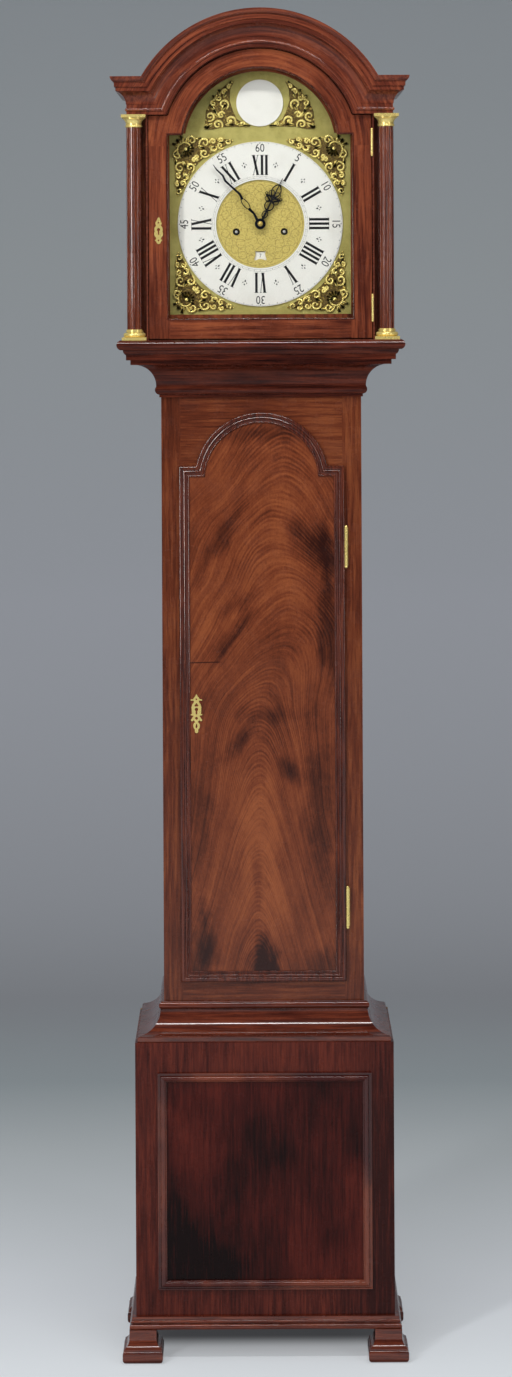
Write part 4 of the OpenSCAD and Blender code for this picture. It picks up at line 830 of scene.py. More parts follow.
def bent_rod(points: Sequence[Point], radii: Sequence[float], sides: int = 3,
             closed: bool = False) -> bpy.types.Object:
    """A rod along points, thick or thin at each, as a mesh with closed ends.

    Args:
        points: The places that it passes.
        radii: Its radius at each of them, as shares of the first.
        sides: The bevel's resolution.
        closed: True for a ring.

    Returns:
        The rod.
    """
    line = bpy.data.curves.new("rod", "CURVE")
    line.dimensions = "3D"
    spline = line.splines.new("POLY")
    spline.points.add(len(points) - 1)
    for spot, place, radius in zip(spline.points, points, radii):
        spot.co = (*place, 1)
        spot.radius = radius / radii[0]
    spline.use_cyclic_u = closed
    line.bevel_depth = radii[0]
    line.bevel_resolution = sides
    line.use_fill_caps = not closed
    rod = bpy.data.objects.new("rod", line)
    bpy.context.scene.collection.objects.link(rod)
    pick_only(rod)
    bpy.ops.object.convert(target="MESH")
    return smooth(bpy.context.object, 1.0)


@dataclass(frozen=True)
class Arched:
    """An outline that is square below and arched above, as a door's."""

    half_width: float
    low: float
    shoulder: float
    radius: float
    centre: float
    steps: int = 40

    def loop(self, inset: float) -> list[tuple[float, float]]:
        """The outline's x and z, drawn in by an inset, counter-clockwise from the front.

        Args:
            inset: How far inside the outline; a negative one is outside.

        Returns:
            Always the same number of corners.
        """
        half, shoulder, radius = self.half_width - inset, self.shoulder - inset, \
            self.radius - inset
        spring = math.asin((shoulder - self.centre) / radius)
        arc = [(radius * math.cos(a), self.centre + radius * math.sin(a))
               for a in spaced(math.pi - 2 * spring, self.steps, spring)]
        return [(-half, self.low + inset), (half, self.low + inset), (half, shoulder), *arc,
                (-half, shoulder)]

    def moulding(self, profile: Sequence[tuple[float, float]]) -> bpy.types.Object:
        """A mitred run of a profile round the outline.

        Args:
            profile: Inset and y of each corner of the section, which closes on itself.

        Returns:
            The moulding.
        """
        count = len(self.loop(0.0))
        run = corner_ring(count)
        mesh = bmesh.from_edit_mesh(run.data)
        for index, (inset, y) in enumerate(profile):
            if index:
                bpy.ops.mesh.extrude_edges_move()
                mesh = bmesh.from_edit_mesh(run.data)
            mesh.verts.ensure_lookup_table()
            for vertex, (x, z) in zip(list(mesh.verts)[-count:], self.loop(inset)):
                vertex.co = (x, y, z)
            bmesh.update_edit_mesh(run.data)
        mesh.verts.ensure_lookup_table()
        first, last = list(mesh.verts)[:count], list(mesh.verts)[-count:]
        for i in range(count):
            after = (i + 1) % count
            mesh.faces.new((last[i], last[after], first[after], first[i]))
        bmesh.update_edit_mesh(run.data)
        face_out()
        return smooth(run, 0.75)


def written(number: int, size: float, place: tuple[float, float, float],
            form: tuple[float, float, int]) -> bpy.types.Object:
    """A number on the dial, its foot towards the centre where it stands at the top.

    Args:
        number: The number.
        size: Its letter size.
        place: Its y, its angle from the top and how far it stands out from the centre.
        form: How wide it is for its height, half its thickness, and its curves' resolution.

    Returns:
        The number as a mesh.
    """
    deselect()
    bpy.ops.object.text_add()
    text = bpy.context.object.data
    text.body, text.size = str(number), size
    text.align_x = text.align_y = "CENTER"
    width, text.extrude, text.resolution_u = form
    bpy.ops.object.convert(target="MESH")
    figure = bpy.context.object
    y, angle, out = place
    figure.matrix_world = Matrix.Translation((0, y, DIAL_Z)) @ Matrix.Rotation(angle, 4, "Y") \
        @ Matrix.Translation((0, 0, out)) @ Matrix.Rotation(math.pi / 2, 4, "X") \
        @ Matrix.Diagonal((width, 1.0, 1.0, 1.0))
    return settle(figure)


def place_piece(piece: bpy.types.Object, name: str, body: str, slot: str,
                material: bpy.types.Material, *stands_for: str) -> bpy.types.Object:
    """Names, dresses and mounts a finished piece.

    Args:
        piece: The finished piece.
        name: Its name.
        body: The body that it moves with.
        slot: The record's slot for its finish; not used.
        material: Its finish.
        stands_for: The nodes that it is shown in place of.

    Returns:
        The piece.
    """
    settle(piece)
    piece.name = piece.data.name = name
    piece.data.materials.clear()
    piece.data.materials.append(material)
    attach(piece, body)
    if stands_for:
        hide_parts(*stands_for)
    LOG.info("%s: %d faces on %s", name, len(piece.data.polygons), body)
    return piece


# ---- sub-assemblies ----

class Finish(Protocol):
    """Anything that makes a material."""

    def paint(self) -> bpy.types.Material:
        """Makes the material."""


Finishes = tuple[tuple[Finish, tuple[str, ...]], ...]


@dataclass
class Assembly:
    """A sub-assembly of the clock, with each finish and the frame's nodes that wear it."""

    finishes: Finishes = ()

    def dress(self) -> None:
        """Gives the frame's own solids their finishes."""
        for finish, nodes in self.finishes:
            material = finish.paint()
            for node in nodes:
                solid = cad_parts[node]
                solid.data.materials.clear()
                solid.data.materials.append(material)
                LOG.info("%s dressed in %s", node, material.name)

    def build(self) -> None:
        """Does all of the sub-assembly."""
        self.dress()


@dataclass
class Numerals:
    """The hour figures, the minute figures and the fine tracks, cut into the ring and waxed."""

    face_y: float
    proud: float = 0.00012
    roman_low: float = 0.0815
    roman_high: float = 0.1150
    arabic_r: float = 0.1262
    arabic_size: float = 0.0195
    thick: float = 0.0041
    thin: float = 0.0009
    serif: float = 0.0008
    overhang: float = 0.0011
    tracks: tuple[float, ...] = (0.0765, 0.0795, 0.1362)
    hours: tuple[str, ...] = ("XII", "I", "II", "III", "IIII", "V", "VI", "VII", "VIII", "IX", "X",
                              "XI")
    widths: tuple[tuple[str, float], ...] = (("I", 0.0073), ("V", 0.0138), ("X", 0.0142))

    def stroke(self, cuts: bmesh.types.BMesh, angle: float,
               corners: Sequence[tuple[float, float]]) -> None:
        """Adds a flat patch whose corners are given along and out from the ring's centre.

        Args:
            cuts: The mesh that takes the patch.
            angle: How far the figure stands clockwise from the top.
            corners: Across and outward places, in metres.
        """
        turned_to = [(x * math.cos(angle) + r * math.sin(angle),
                      r * math.cos(angle) - x * math.sin(angle)) for x, r in corners]
        cuts.faces.new([cuts.verts.new((x, self.face_y - self.proud, DIAL_Z + z))
                        for x, z in turned_to])

    def block(self, cuts: bmesh.types.BMesh, angle: float, middle: float, half: float, low: float,
              high: float) -> None:
        """Adds an upright rectangle about a middle, from low to high."""
        self.stroke(cuts, angle, ((middle - half, low), (middle + half, low),
                                  (middle + half, high), (middle - half, high)))

    def bar(self, cuts: bmesh.types.BMesh, angle: float, foot: float, head: float,
            width: float) -> None:
        """Adds one stroke from the ring's inner to its outer line, with a serif at each end."""
        low, high, half = self.roman_low, self.roman_high, width / 2
        self.stroke(cuts, angle, ((foot - half, low), (foot + half, low), (head + half, high),
                                  (head - half, high)))
        for place, level in ((foot, low), (head, high - self.serif)):
            self.block(cuts, angle, place, half + self.overhang, level, level + self.serif)

    def hour(self, cuts: bmesh.types.BMesh, number: int, word: str) -> None:
        """Adds one Roman figure, its foot towards the centre."""
        width = dict(self.widths)
        angle = math.tau * number / 12
        place = -sum(width[sign] for sign in word) / 2
        for sign in word:
            middle = place + width[sign] / 2
            reach = width[sign] / 2 - self.thick * 0.85
            if sign == "I":
                self.bar(cuts, angle, middle, middle, self.thick)
            elif sign == "V":
                self.bar(cuts, angle, middle, middle - reach, self.thick)
                self.bar(cuts, angle, middle, middle + reach, self.thin)
            else:
                self.bar(cuts, angle, middle + reach, middle - reach, self.thick)
                self.bar(cuts, angle, middle - reach, middle + reach, self.thin)
            place += width[sign]

    def track(self, cuts: bmesh.types.BMesh) -> None:
        """Adds the faint minute and quarter lines and the half-hour marks."""
        for radius in self.tracks:
            inner, outer = radius - 0.00011, radius + 0.00011
            for a, b in pairwise(spaced(math.tau, 180)):
                cuts.faces.new([cuts.verts.new((r * math.sin(t), self.face_y - self.proud,
                                                DIAL_Z + r * math.cos(t)))
                                for r, t in ((inner, a), (outer, a), (outer, b), (inner, b))])
        for angle in spaced(math.tau, 48)[:-1]:
            self.block(cuts, angle, 0.0, 0.00015, *self.tracks[:2])
        for i, angle in enumerate(spaced(math.tau, 60)[:-1]):
            self.block(cuts, angle, 0.0, 0.0004 if i % 5 else 0.0007, 0.1340, 0.1355)
        for i in range(12):
            angle = math.tau * (i + 0.5) / 12
            for along, out, big in ((0.0, 0.0985, 0.0015), (0.0, 0.1045, 0.0012),
                                    (0.0032, 0.1015, 0.0009), (-0.0032, 0.1015, 0.0009)):
                self.stroke(cuts, angle, ((along, out - 1.6 * big), (along + big, out),
                                          (along, out + 1.6 * big), (along - big, out)))

    def minute(self, number: int) -> bpy.types.Object:
        """One five-minute figure, its foot towards the centre."""
        depth = self.proud / 2
        return written(number, self.arabic_size, (self.face_y - depth, math.tau * number / 60,
                                                  self.arabic_r), (0.82, depth, 3))

    def cut(self) -> bpy.types.Object:
        """All the figures and tracks as one thin piece."""
        deselect()
        bpy.ops.mesh.primitive_plane_add(size=1)
        piece = bpy.context.object
        cuts = bmesh.new()
        for number, word in enumerate(self.hours):
            self.hour(cuts, number, word)
        self.track(cuts)
        cuts.to_mesh(piece.data)
        cuts.free()
        select_faces(piece, lambda face: True)
        face_out()
        modify(piece, "SOLIDIFY", thickness=self.proud, offset=0.0)
        figures = [self.minute(number) for number in range(5, 65, 5)]
        return join([piece, *figures])


@dataclass
class Casting:
    """Cast brass scrollwork: leafy scrolls, leaves, a shell and pearls on a thin web."""

    face_y: float
    bed: float = 0.0012
    height: float = 0.0034

    def scroll(self, x: float, z: float, size: float, start: float, sweep: float,
               thick: float = 0.0021) -> bpy.types.Object:
        """A leafy scroll that winds in to a bead.

        Args:
            x: Its middle, across.
            z: Its middle, up.
            size: Its largest radius.
            start: The angle at which it begins, in degrees.
            sweep: How far it goes round before it winds up, in degrees.
            thick: The rod's largest radius.

        Returns:
            The scroll.
        """
        steps = 22
        points: list[Point] = []
        radii: list[float] = []
        for i in range(steps + 1):
            share = i / steps
            curl = 1.12 - 0.86 * share ** 0.85
            angle = math.radians(start + sweep * 1.7 * share)
            points.append((x + size * curl * math.cos(angle),
                           self.face_y - self.bed - 0.0004 - 0.0006 * share,
                           z + size * curl * math.sin(angle)))
            radii.append(thick * (0.30 + 0.62 * math.sin(math.pi * min(1.0, share + 0.18))
                                  + 0.1 * share))
        rod = bent_rod(points, radii, 2)
        return join([rod, self.pearl(points[steps][0], points[steps][2], thick * 0.9)])

    def pearl(self, x: float, z: float, radius: float) -> bpy.types.Object:
        """A domed bead."""
        dome = [(radius * math.sin(a), radius * 0.95 * math.cos(a))
                for a in spaced(math.pi / 2, 5)]
        profile = [*dome, (radius, -0.0008), (0.0, -0.0008)]
        return turned(profile, (x, self.face_y - self.bed, z), (0, -1, 0), 10)

    def leaf(self, x: float, z: float, length: float, width: float,
             angle: float) -> bpy.types.Object:
        """A pointed leaf, ridged along its middle.

        Args:
            x: Its foot, across.
            z: Its foot, up.
            length: From foot to tip.
            width: Its greatest width.
            angle: The way that it points, in degrees from the X axis.

        Returns:
            The leaf.
        """
        shape = ((0.0, 0.18), (0.18, 0.72), (0.42, 1.0), (0.68, 0.74), (0.88, 0.30), (1.0, 0.02))
        side = [(length * along, width / 2 * wide) for along, wide in shape]
        outline = side + [(along, -wide) for along, wide in reversed(side)]
        turn = math.radians(angle)
        points = [(x + u * math.cos(turn) - v * math.sin(turn),
                   z + u * math.sin(turn) + v * math.cos(turn)) for u, v in outline]
        plate = outline_plate(points, self.face_y - self.bed, self.bed)
        select_faces(plate, lambda face: face.normal.y < -0.9)
        bpy.ops.mesh.inset(thickness=width * 0.16, depth=self.height * 0.42)
        bpy.ops.mesh.inset(thickness=width * 0.14, depth=self.height * 0.14)
        bpy.ops.object.mode_set(mode="OBJECT")
        return smooth(plate, 1.0)

    def shell(self, x: float, z: float, radius: float, angle: float) -> list[bpy.types.Object]:
        """A fluted shell: leaves set in a fan round a boss."""
        ribs = [self.leaf(x, z, radius, radius * 0.34, angle + turn)
                for turn in (-78, -52, -26, 0, 26, 52, 78)]
        return ribs + [self.pearl(x, z, radius * 0.26)]

    def ground(self, points: Sequence[tuple[float, float]]) -> bpy.types.Object:
        """The thin dark web behind the scrolls."""
        return outline_plate(points, self.face_y - self.bed * 0.7, self.bed * 0.7)

    def cast(self, x: float, z: float, tables: Sequence[Table],
             swap: bool = False) -> list[bpy.types.Object]:
        """The pieces of three tables, whose places are in millimetres from a point.

        Args:
            x: The point, across.
            z: The point, up.
            tables: Rows for the scrolls, for the leaves and for the pearls.
            swap: True to mirror them in the diagonal through the point.

        Returns:
            The pieces.
        """
        def at(u: float, v: float) -> tuple[float, float]:
            """A row's place, in metres."""
            return (x + v * MM, z + u * MM) if swap else (x + u * MM, z + v * MM)

        scrolls, leaves, pearls = tables
        made = [self.scroll(*at(u, v), size * MM, 90 - start if swap else start,
                            -sweep if swap else sweep) for u, v, size, start, sweep in scrolls]
        made += [self.leaf(*at(u, v), length * MM, width * MM, 90 - angle if swap else angle)
                 for u, v, length, width, angle in leaves]
        return made + [self.pearl(*at(u, v), radius * MM) for u, v, radius in pearls]


@dataclass
class Dial(Assembly):
    """The arched dial: its sheet and rings, castings, figures, winding holes and hands."""

    finishes: Finishes = (
        (DialBrass("dial_brass"), ("dial_plate",)),
        (Silvered("silvered_face"), ("silvered_rings", "date_ring")))
    half_width: float = 0.1525
    low_z: float = 1.7277
    boss_z: float = 2.082
    edge: float = 0.0085
    rim: float = 0.0008
    hole_drop: float = 0.013
    date_r: float = 0.0532
    today: int = 7
    hour_hand_turn: float = math.radians(26.5)
    cast: CastBrass = CastBrass("cast_brass")
    # black wax for the figures and dates, also painted shade in the winding holes
    wax: Wax = Wax("black_wax_and_painted_shade")
    collet: Brass = Brass("collet_brass", polish=0.2)
    tips: Steel = Steel("bright_steel", srgb(226, 222, 212), srgb(196, 190, 178), metal=0.4)
    hand_steel: Steel = Steel("hand_steel", srgb(30, 28, 34), srgb(14, 13, 16), metal=0.5)

    def corner(self, casting: Casting) -> bpy.types.Object:
        """The lower left corner casting, alike on both sides of its diagonal."""
        arm = ((30, 6.5, 8.2, 170, 210), (52, 10.5, 8.4, 160, 215), (51.5, 27.5, 7.4, 20, 240),
               (66.5, 19.5, 5.2, 330, 250), (65.5, 8.5, 5.0, 150, 240), (78.5, 15.0, 5.4, 30, 230),
               (79, 6.2, 4.2, 160, 220), (90.5, 8.6, 4.4, 300, 240), (39, 34.5, 4.4, 60, 250))
        leaves = ((58, 17, 11, 6, 8), (40, 15, 13, 7, 25), (73, 10, 9, 5, 0), (84, 8, 13, 5, 4),
                  (36, 3.4, 10, 6, 0), (44, 22, 10, 5.5, 60), (60, 25.5, 8, 4.5, -12))
        pearls = ((44, 4.4, 1.5), (59.5, 3.6, 1.3), (72, 4.2, 1.3), (85, 3.6, 1.2), (46, 36, 1.7),
                  (60, 31, 1.4), (70.5, 25.5, 1.2), (98.5, 7.2, 1.5))
        x0, z0 = -self.half_width + self.edge, self.low_z + self.edge * 0.75
        tables = (arm, leaves, pearls)
        pieces = casting.cast(x0, z0, tables) + casting.cast(x0, z0, tables, True)
        boss = (x0 + 20.5 * MM, z0 + 20.5 * MM)
        pieces += casting.shell(*boss, 13.5 * MM, 45)
        pieces += [casting.leaf(x0 + u * MM, z0 + v * MM, 12.5 * MM, 7 * MM, angle)
                   for u, v, angle in ((14, 14, 225), (15.5, 10, 255), (10, 15.5, 195),
                                       (24, 9, 300), (9, 24, 150))]
        pieces.append(casting.scroll(*boss, 15.5 * MM, 118, 214, 0.0016))
        web = [(4, 4), (50, 3), (97, 5), (96, 10), (80, 19), (62, 29), (48, 38), (38, 48),
               (29, 62), (19, 80), (10, 96), (5, 97), (3, 50)]
        pieces.append(casting.ground([(x0 + u * MM, z0 + v * MM) for u, v in web]))
        return join(pieces)

    def wing(self, casting: Casting) -> bpy.types.Object:
        """The left casting of the arch, beside the boss."""
        scrolls = ((-70, -36, 7.6, 330, 250), (-49, -30, 8.6, 330, 200), (-83, -22, 7.6, 250, 240),
                   (-60, -2, 8.2, 300, 260), (-68, 9, 5.2, 120, 220), (-59, 19, 4.6, 20, 230),
                   (-77, 0, 5.2, 60, 230), (-29, -35.4, 3.6, 320, 230), (-64, -20, 5.6, 20, 240),
                   (-51, 28, 3.8, 30, 230))
        leaves = ((-78, -33, 14, 7, 218), (-69, -24, 15, 7, 120), (-74, -12, 13, 6.5, 135),
                  (-64, -13, 13, 6.5, 55), (-58, -36, 14, 6, 0), (-40, -36, 12, 5.5, 8),
                  (-27, -37.4, 11, 4.2, -4), (-66, 12, 11, 5.5, 100), (-53, 27, 11, 5, 58),
                  (-74, 4, 10, 5, 115), (-60, 8, 10, 5, 70), (-87, -34, 9, 5.5, 235))
        pearls = ((-48.5, -30, 3.4), (-57, 13, 2.0), (-46.5, 35.5, 2.0), (-86, -10, 1.6),
                  (-38, -32, 1.5), (-90, -28, 1.6), (-71, 20, 1.5), (-33.5, -38, 1.4))
        pieces = casting.cast(0.0, self.boss_z, (scrolls, leaves, pearls))
        web = [(-92, -44), (-78, -44), (-60, -40), (-20, -39), (-24, -35), (-38, -27), (-44, -14),
               (-50, 4), (-49, 22), (-43, 36), (-50, 35), (-66, 22), (-80, 6), (-90, -14)]
        pieces.append(casting.ground([(u * MM, self.boss_z + v * MM) for u, v in web]))
        return join(pieces)

    def set_castings(self) -> None:
        """Casts one corner and one wing, and sets them in all six places."""
        casting = Casting(face_y=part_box("dial_plate")[0][1] + self.rim)
        finish = self.cast.paint()
        first = self.corner(casting)
        across = Matrix.Diagonal((-1.0, 1.0, 1.0, 1.0))
        over = Matrix.Translation((0, 0, 2 * DIAL_Z)) @ Matrix.Diagonal((1, 1, -1, 1))
        corners = [first] + [copy_of(first, turn) for turn in (across, over, across @ over)]
        place_piece(join(corners), "corner_castings", "case", "brass", finish, "spandrels")
        left = self.wing(casting)
        place_piece(join([left, copy_of(left, across)]), "arch_castings", "case", "brass", finish,
                    "spandrels")

    def set_collet(self) -> None:
        """Makes the domed collet and its pin that hold the minute hand."""
        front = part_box("minute_hand")[0][1]
        dome = turned(((0.0, 0.0022), (0.0016, 0.0021), (0.0034, 0.0014), (0.0044, 0.0004),
                       (0.0046, -0.0002), (0.0, -0.0002)), (0, front, DIAL_Z),
                      (0, -1, 0), 24)
        pin = bent_rod([(-0.0042, front - 0.0022, DIAL_Z + 0.0008),
                        (0.0038, front - 0.0022, DIAL_Z - 0.0006)], [0.0005, 0.0003], 2)
        place_piece(join([dome, pin]), "hand_collet", "minute_hand", "brass",
                    self.collet.paint())

    def set_holes(self) -> None:
        """Black rings paint shade in the winding holes; the two winding squares get steel tips."""
        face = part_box("dial_plate")[0][1] + self.rim
        shades: list[bpy.types.Object] = []
        black, steel = self.wax.paint(), self.tips.paint()
        for side, kind in ((-1, "strike"), (1, "going")):
            place = (side * ARBOR_X, face, DIAL_Z - self.hole_drop)
            # painted shade: a black ring inside each hole behind the face, and a thin one round it
            # on the face
            for inner, outer, low, high in ((2.75, 4.96, -2.2, -1.8), (5.0, 5.9, 0.8, 0.86)):
                ring = [(inner * MM, low * MM), (outer * MM, low * MM), (outer * MM, high * MM),
                        (inner * MM, high * MM), (inner * MM, low * MM)]
                shades.append(turned(ring, place, (0, -1, 0), 32))
            deselect()
            bpy.ops.mesh.primitive_cube_add(size=1, location=(place[0], face + 0.0014, place[2]))
            tip = bpy.context.object
            tip.scale = (0.0037, 0.0012, 0.0037)
            settle(tip)
            soften(tip, 0.0004)
            place_piece(tip, f"winding_tip_{kind}", f"{kind}_barrel", "steel", steel)
        place_piece(join(shades), "painted_hole_shade", "case", "blued_steel", black)

    def set_dates(self) -> None:
        """Writes the days 1 to 31 round the date ring, upright where the window shows them."""
        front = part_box("date_ring")[0][1]
        days = [written(day, 0.0092, (front - 0.00005, math.tau * (day - self.today) / 31,
                                      -self.date_r), (0.8, 0.00004, 2)) for day in range(1, 32)]
        place_piece(join(days), "date_figures", "date_ring", "blued_steel", self.wax.paint())

    def set_fret(self) -> None:
        """Thickens the hour hand's pierced middle with four looped rods and a cross bar."""
        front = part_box("hour_hand")[0][1]
        turn = self.hour_hand_turn
        rods: list[bpy.types.Object] = []

        def place(u: float, r: float) -> Point:
            """A point given across the hand and out from its arbor, in millimetres."""
            return ((u * math.cos(turn) + r * math.sin(turn)) * MM, front + 0.0001,
                    DIAL_Z + (r * math.cos(turn) - u * math.sin(turn)) * MM)

        for u, r, wide, long in ((-6.4, 43.5, 5.6, 4.6), (6.4, 43.5, 5.6, 4.6),
                                 (-5.4, 55.0, 4.6, 5.0), (5.4, 55.0, 4.6, 5.0)):
            loop = [place(u + wide * math.cos(a), r + long * math.sin(a))
                    for a in spaced(math.tau, 20)[:-1]]
            rods.append(bent_rod(loop, [0.0007] * len(loop), 2, closed=True))
        rods.append(bent_rod([place(-13.5, 49.5), place(0, 48.5), place(13.5, 49.5)],
                             [0.0009, 0.0011, 0.0009], 2))
        rods.append(bent_rod([place(0, 10), place(0, 27), place(0, 60), place(0, 84)],
                             [0.0013, 0.0008, 0.0008, 0.0006], 2))
        place_piece(join(rods), "hour_hand_fret", "hour_hand", "blued_steel",
                    self.hand_steel.paint())

    def build(self) -> None:
        """Does all of the dial."""
        self.dress()
        figures = Numerals(face_y=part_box("silvered_rings")[0][1])
        place_piece(figures.cut(), "waxed_figures", "case", "blued_steel", self.wax.paint())
        self.set_castings()
        self.set_collet()
        self.set_holes()
        self.set_dates()
        self.set_fret()


@dataclass
class Studio:
    """The camera, the lamps and the paper that the clock stands on.

    Each row of `lamps` is a soft box's name, place, width and height, its power, and the
    height on the clock's axis that it faces. `seen` and `mirrored` are what the camera and
    glossy surfaces see where there is no paper.
    """

    camera_place: Point = (-0.0075, -5.065, 1.795)
    lens: float = 78.4
    horizon_px: float = 275.0
    roll: float = 0.0050
    floor_reach: float = 9.0
    wall_y: float = 3.2
    sweep: float = 1.0
    ground_drop: float = 0.002
    air: float = 0.36
    seen: Rgb = srgb(132, 137, 142)
    mirrored: Rgb = srgb(52, 54, 58)
    lamps: tuple[tuple[str, Point, tuple[float, float], float, float], ...] = (
        ("key_box", (-2.5, -3.5, 3.0), (0.4, 2.8), 80, 1.2),
        ("fill_box", (2.9, -3.1, 1.9), (0.3, 2.8), 20, 1.1),
        ("top_strip", (0.0, -1.9, 3.9), (2.6, 0.20), 50, 1.3))
    # the paper's colours hold painted light: pale in front where the lamps fall, greyer up the wall
    paper: StudioPaper = StudioPaper("studio_paper", (
        (0.0, srgb(234, 239, 243)), (1.0, srgb(140, 146, 150)), (0.054, srgb(232, 237, 241)),
        (0.114, srgb(218, 222, 227)), (0.174, srgb(204, 209, 213)), (0.244, srgb(184, 190, 193)),
        (0.326, srgb(154, 162, 166)), (0.44, srgb(143, 146, 151)), (0.526, srgb(150, 153, 159)),
        (0.706, srgb(162, 165, 172)), (0.845, srgb(154, 159, 162)), (0.954, srgb(145, 150, 154))))

    def place_camera(self) -> None:
        """Puts the camera where the photograph was taken, its frame shifted down."""
        data = bpy.data.cameras.new("camera")
        data.lens = self.lens
        data.sensor_width = 36.0
        data.shift_y = -(IMAGE_H / 2 - self.horizon_px) / IMAGE_H
        data.clip_end = 60
        camera = bpy.data.objects.new("camera", data)
        camera.location = self.camera_place
        camera.rotation_euler = (math.pi / 2, self.roll, 0)
        bpy.context.scene.collection.objects.link(camera)
        bpy.context.scene.camera = camera

    def add_lamp(self, name: str, place: Point, size: tuple[float, float], power: float,
                 aim: float) -> None:
        """Adds a soft box that faces a height on the clock's axis."""
        data = bpy.data.lights.new(name, "AREA")
        data.shape = "RECTANGLE"
        data.size, data.size_y = size
        data.energy = power
        lamp = bpy.data.objects.new(name, data)
        lamp.location = place
        way = Vector((0, 0, aim)) - Vector(place)
        lamp.rotation_euler = way.to_track_quat("-Z", "Y").to_euler()
        bpy.context.scene.collection.objects.link(lamp)

    def light(self) -> None:
        """Lights the clock with a tall box on the left, a weaker one right and a strip above."""
        world = bpy.data.worlds.new("studio_air")
        world.use_nodes = True
        tree = world.node_tree
        background = tree.nodes["Background"]
        path = tree.nodes.new("ShaderNodeLightPath")
        tone = (*[part * self.air for part in (0.95, 0.97, 1.0)], 1)
        for ray, colour in (("Is Camera Ray", self.seen), ("Is Glossy Ray", self.mirrored)):
            blend = tree.nodes.new("ShaderNodeMix")
            blend.data_type = "RGBA"
            tree.links.new(path.outputs[ray], blend.inputs[0])
            if isinstance(tone, tuple):
                blend.inputs[6].default_value = tone
            else:
                tree.links.new(tone, blend.inputs[6])
            blend.inputs[7].default_value = (*colour, 1)
            tone = blend.outputs[2]
        tree.links.new(tone, background.inputs["Color"])
        bpy.context.scene.world = world
        for row in self.lamps:
            self.add_lamp(*row)

    def hang_paper(self) -> None:
        """Makes the floor and the backdrop as one swept sheet of paper."""
        reach, bend = self.floor_reach, self.sweep
        curve = [(self.wall_y - bend + bend * math.sin(a), bend - bend * math.cos(a))
                 for a in spaced(math.pi / 2, 16)]
        line = [(-reach, 0.0), (0.0, 0.0), *curve, (self.wall_y, reach)]
        deselect()
        bpy.ops.mesh.primitive_grid_add(x_subdivisions=1, y_subdivisions=len(line) - 1, size=2)
        sheet = bpy.context.object
        rows = sorted({round(vertex.co.y, 4) for vertex in sheet.data.vertices})
        for vertex in sheet.data.vertices:
            y, z = line[rows.index(round(vertex.co.y, 4))]
            vertex.co = (math.copysign(reach, vertex.co.x), y, z)
        smooth(sheet, 1.0)
        sheet.name = "studio_paper"
        deselect()
        bpy.ops.mesh.primitive_plane_add(size=2 * reach,
                                         location=(0, self.wall_y - bend + reach,
                                                   -self.ground_drop))
        ground = settle(bpy.context.object)
        ground.name = "studio_ground"
        finish = self.paper.paint()
        for paper in (sheet, ground):
            paper.data.materials.append(finish)

    def set_up(self) -> None:
        """Does all of the studio."""
        scene = bpy.context.scene
        scene.view_settings.view_transform = "Standard"
        self.place_camera()
        self.light()
        self.hang_paper()


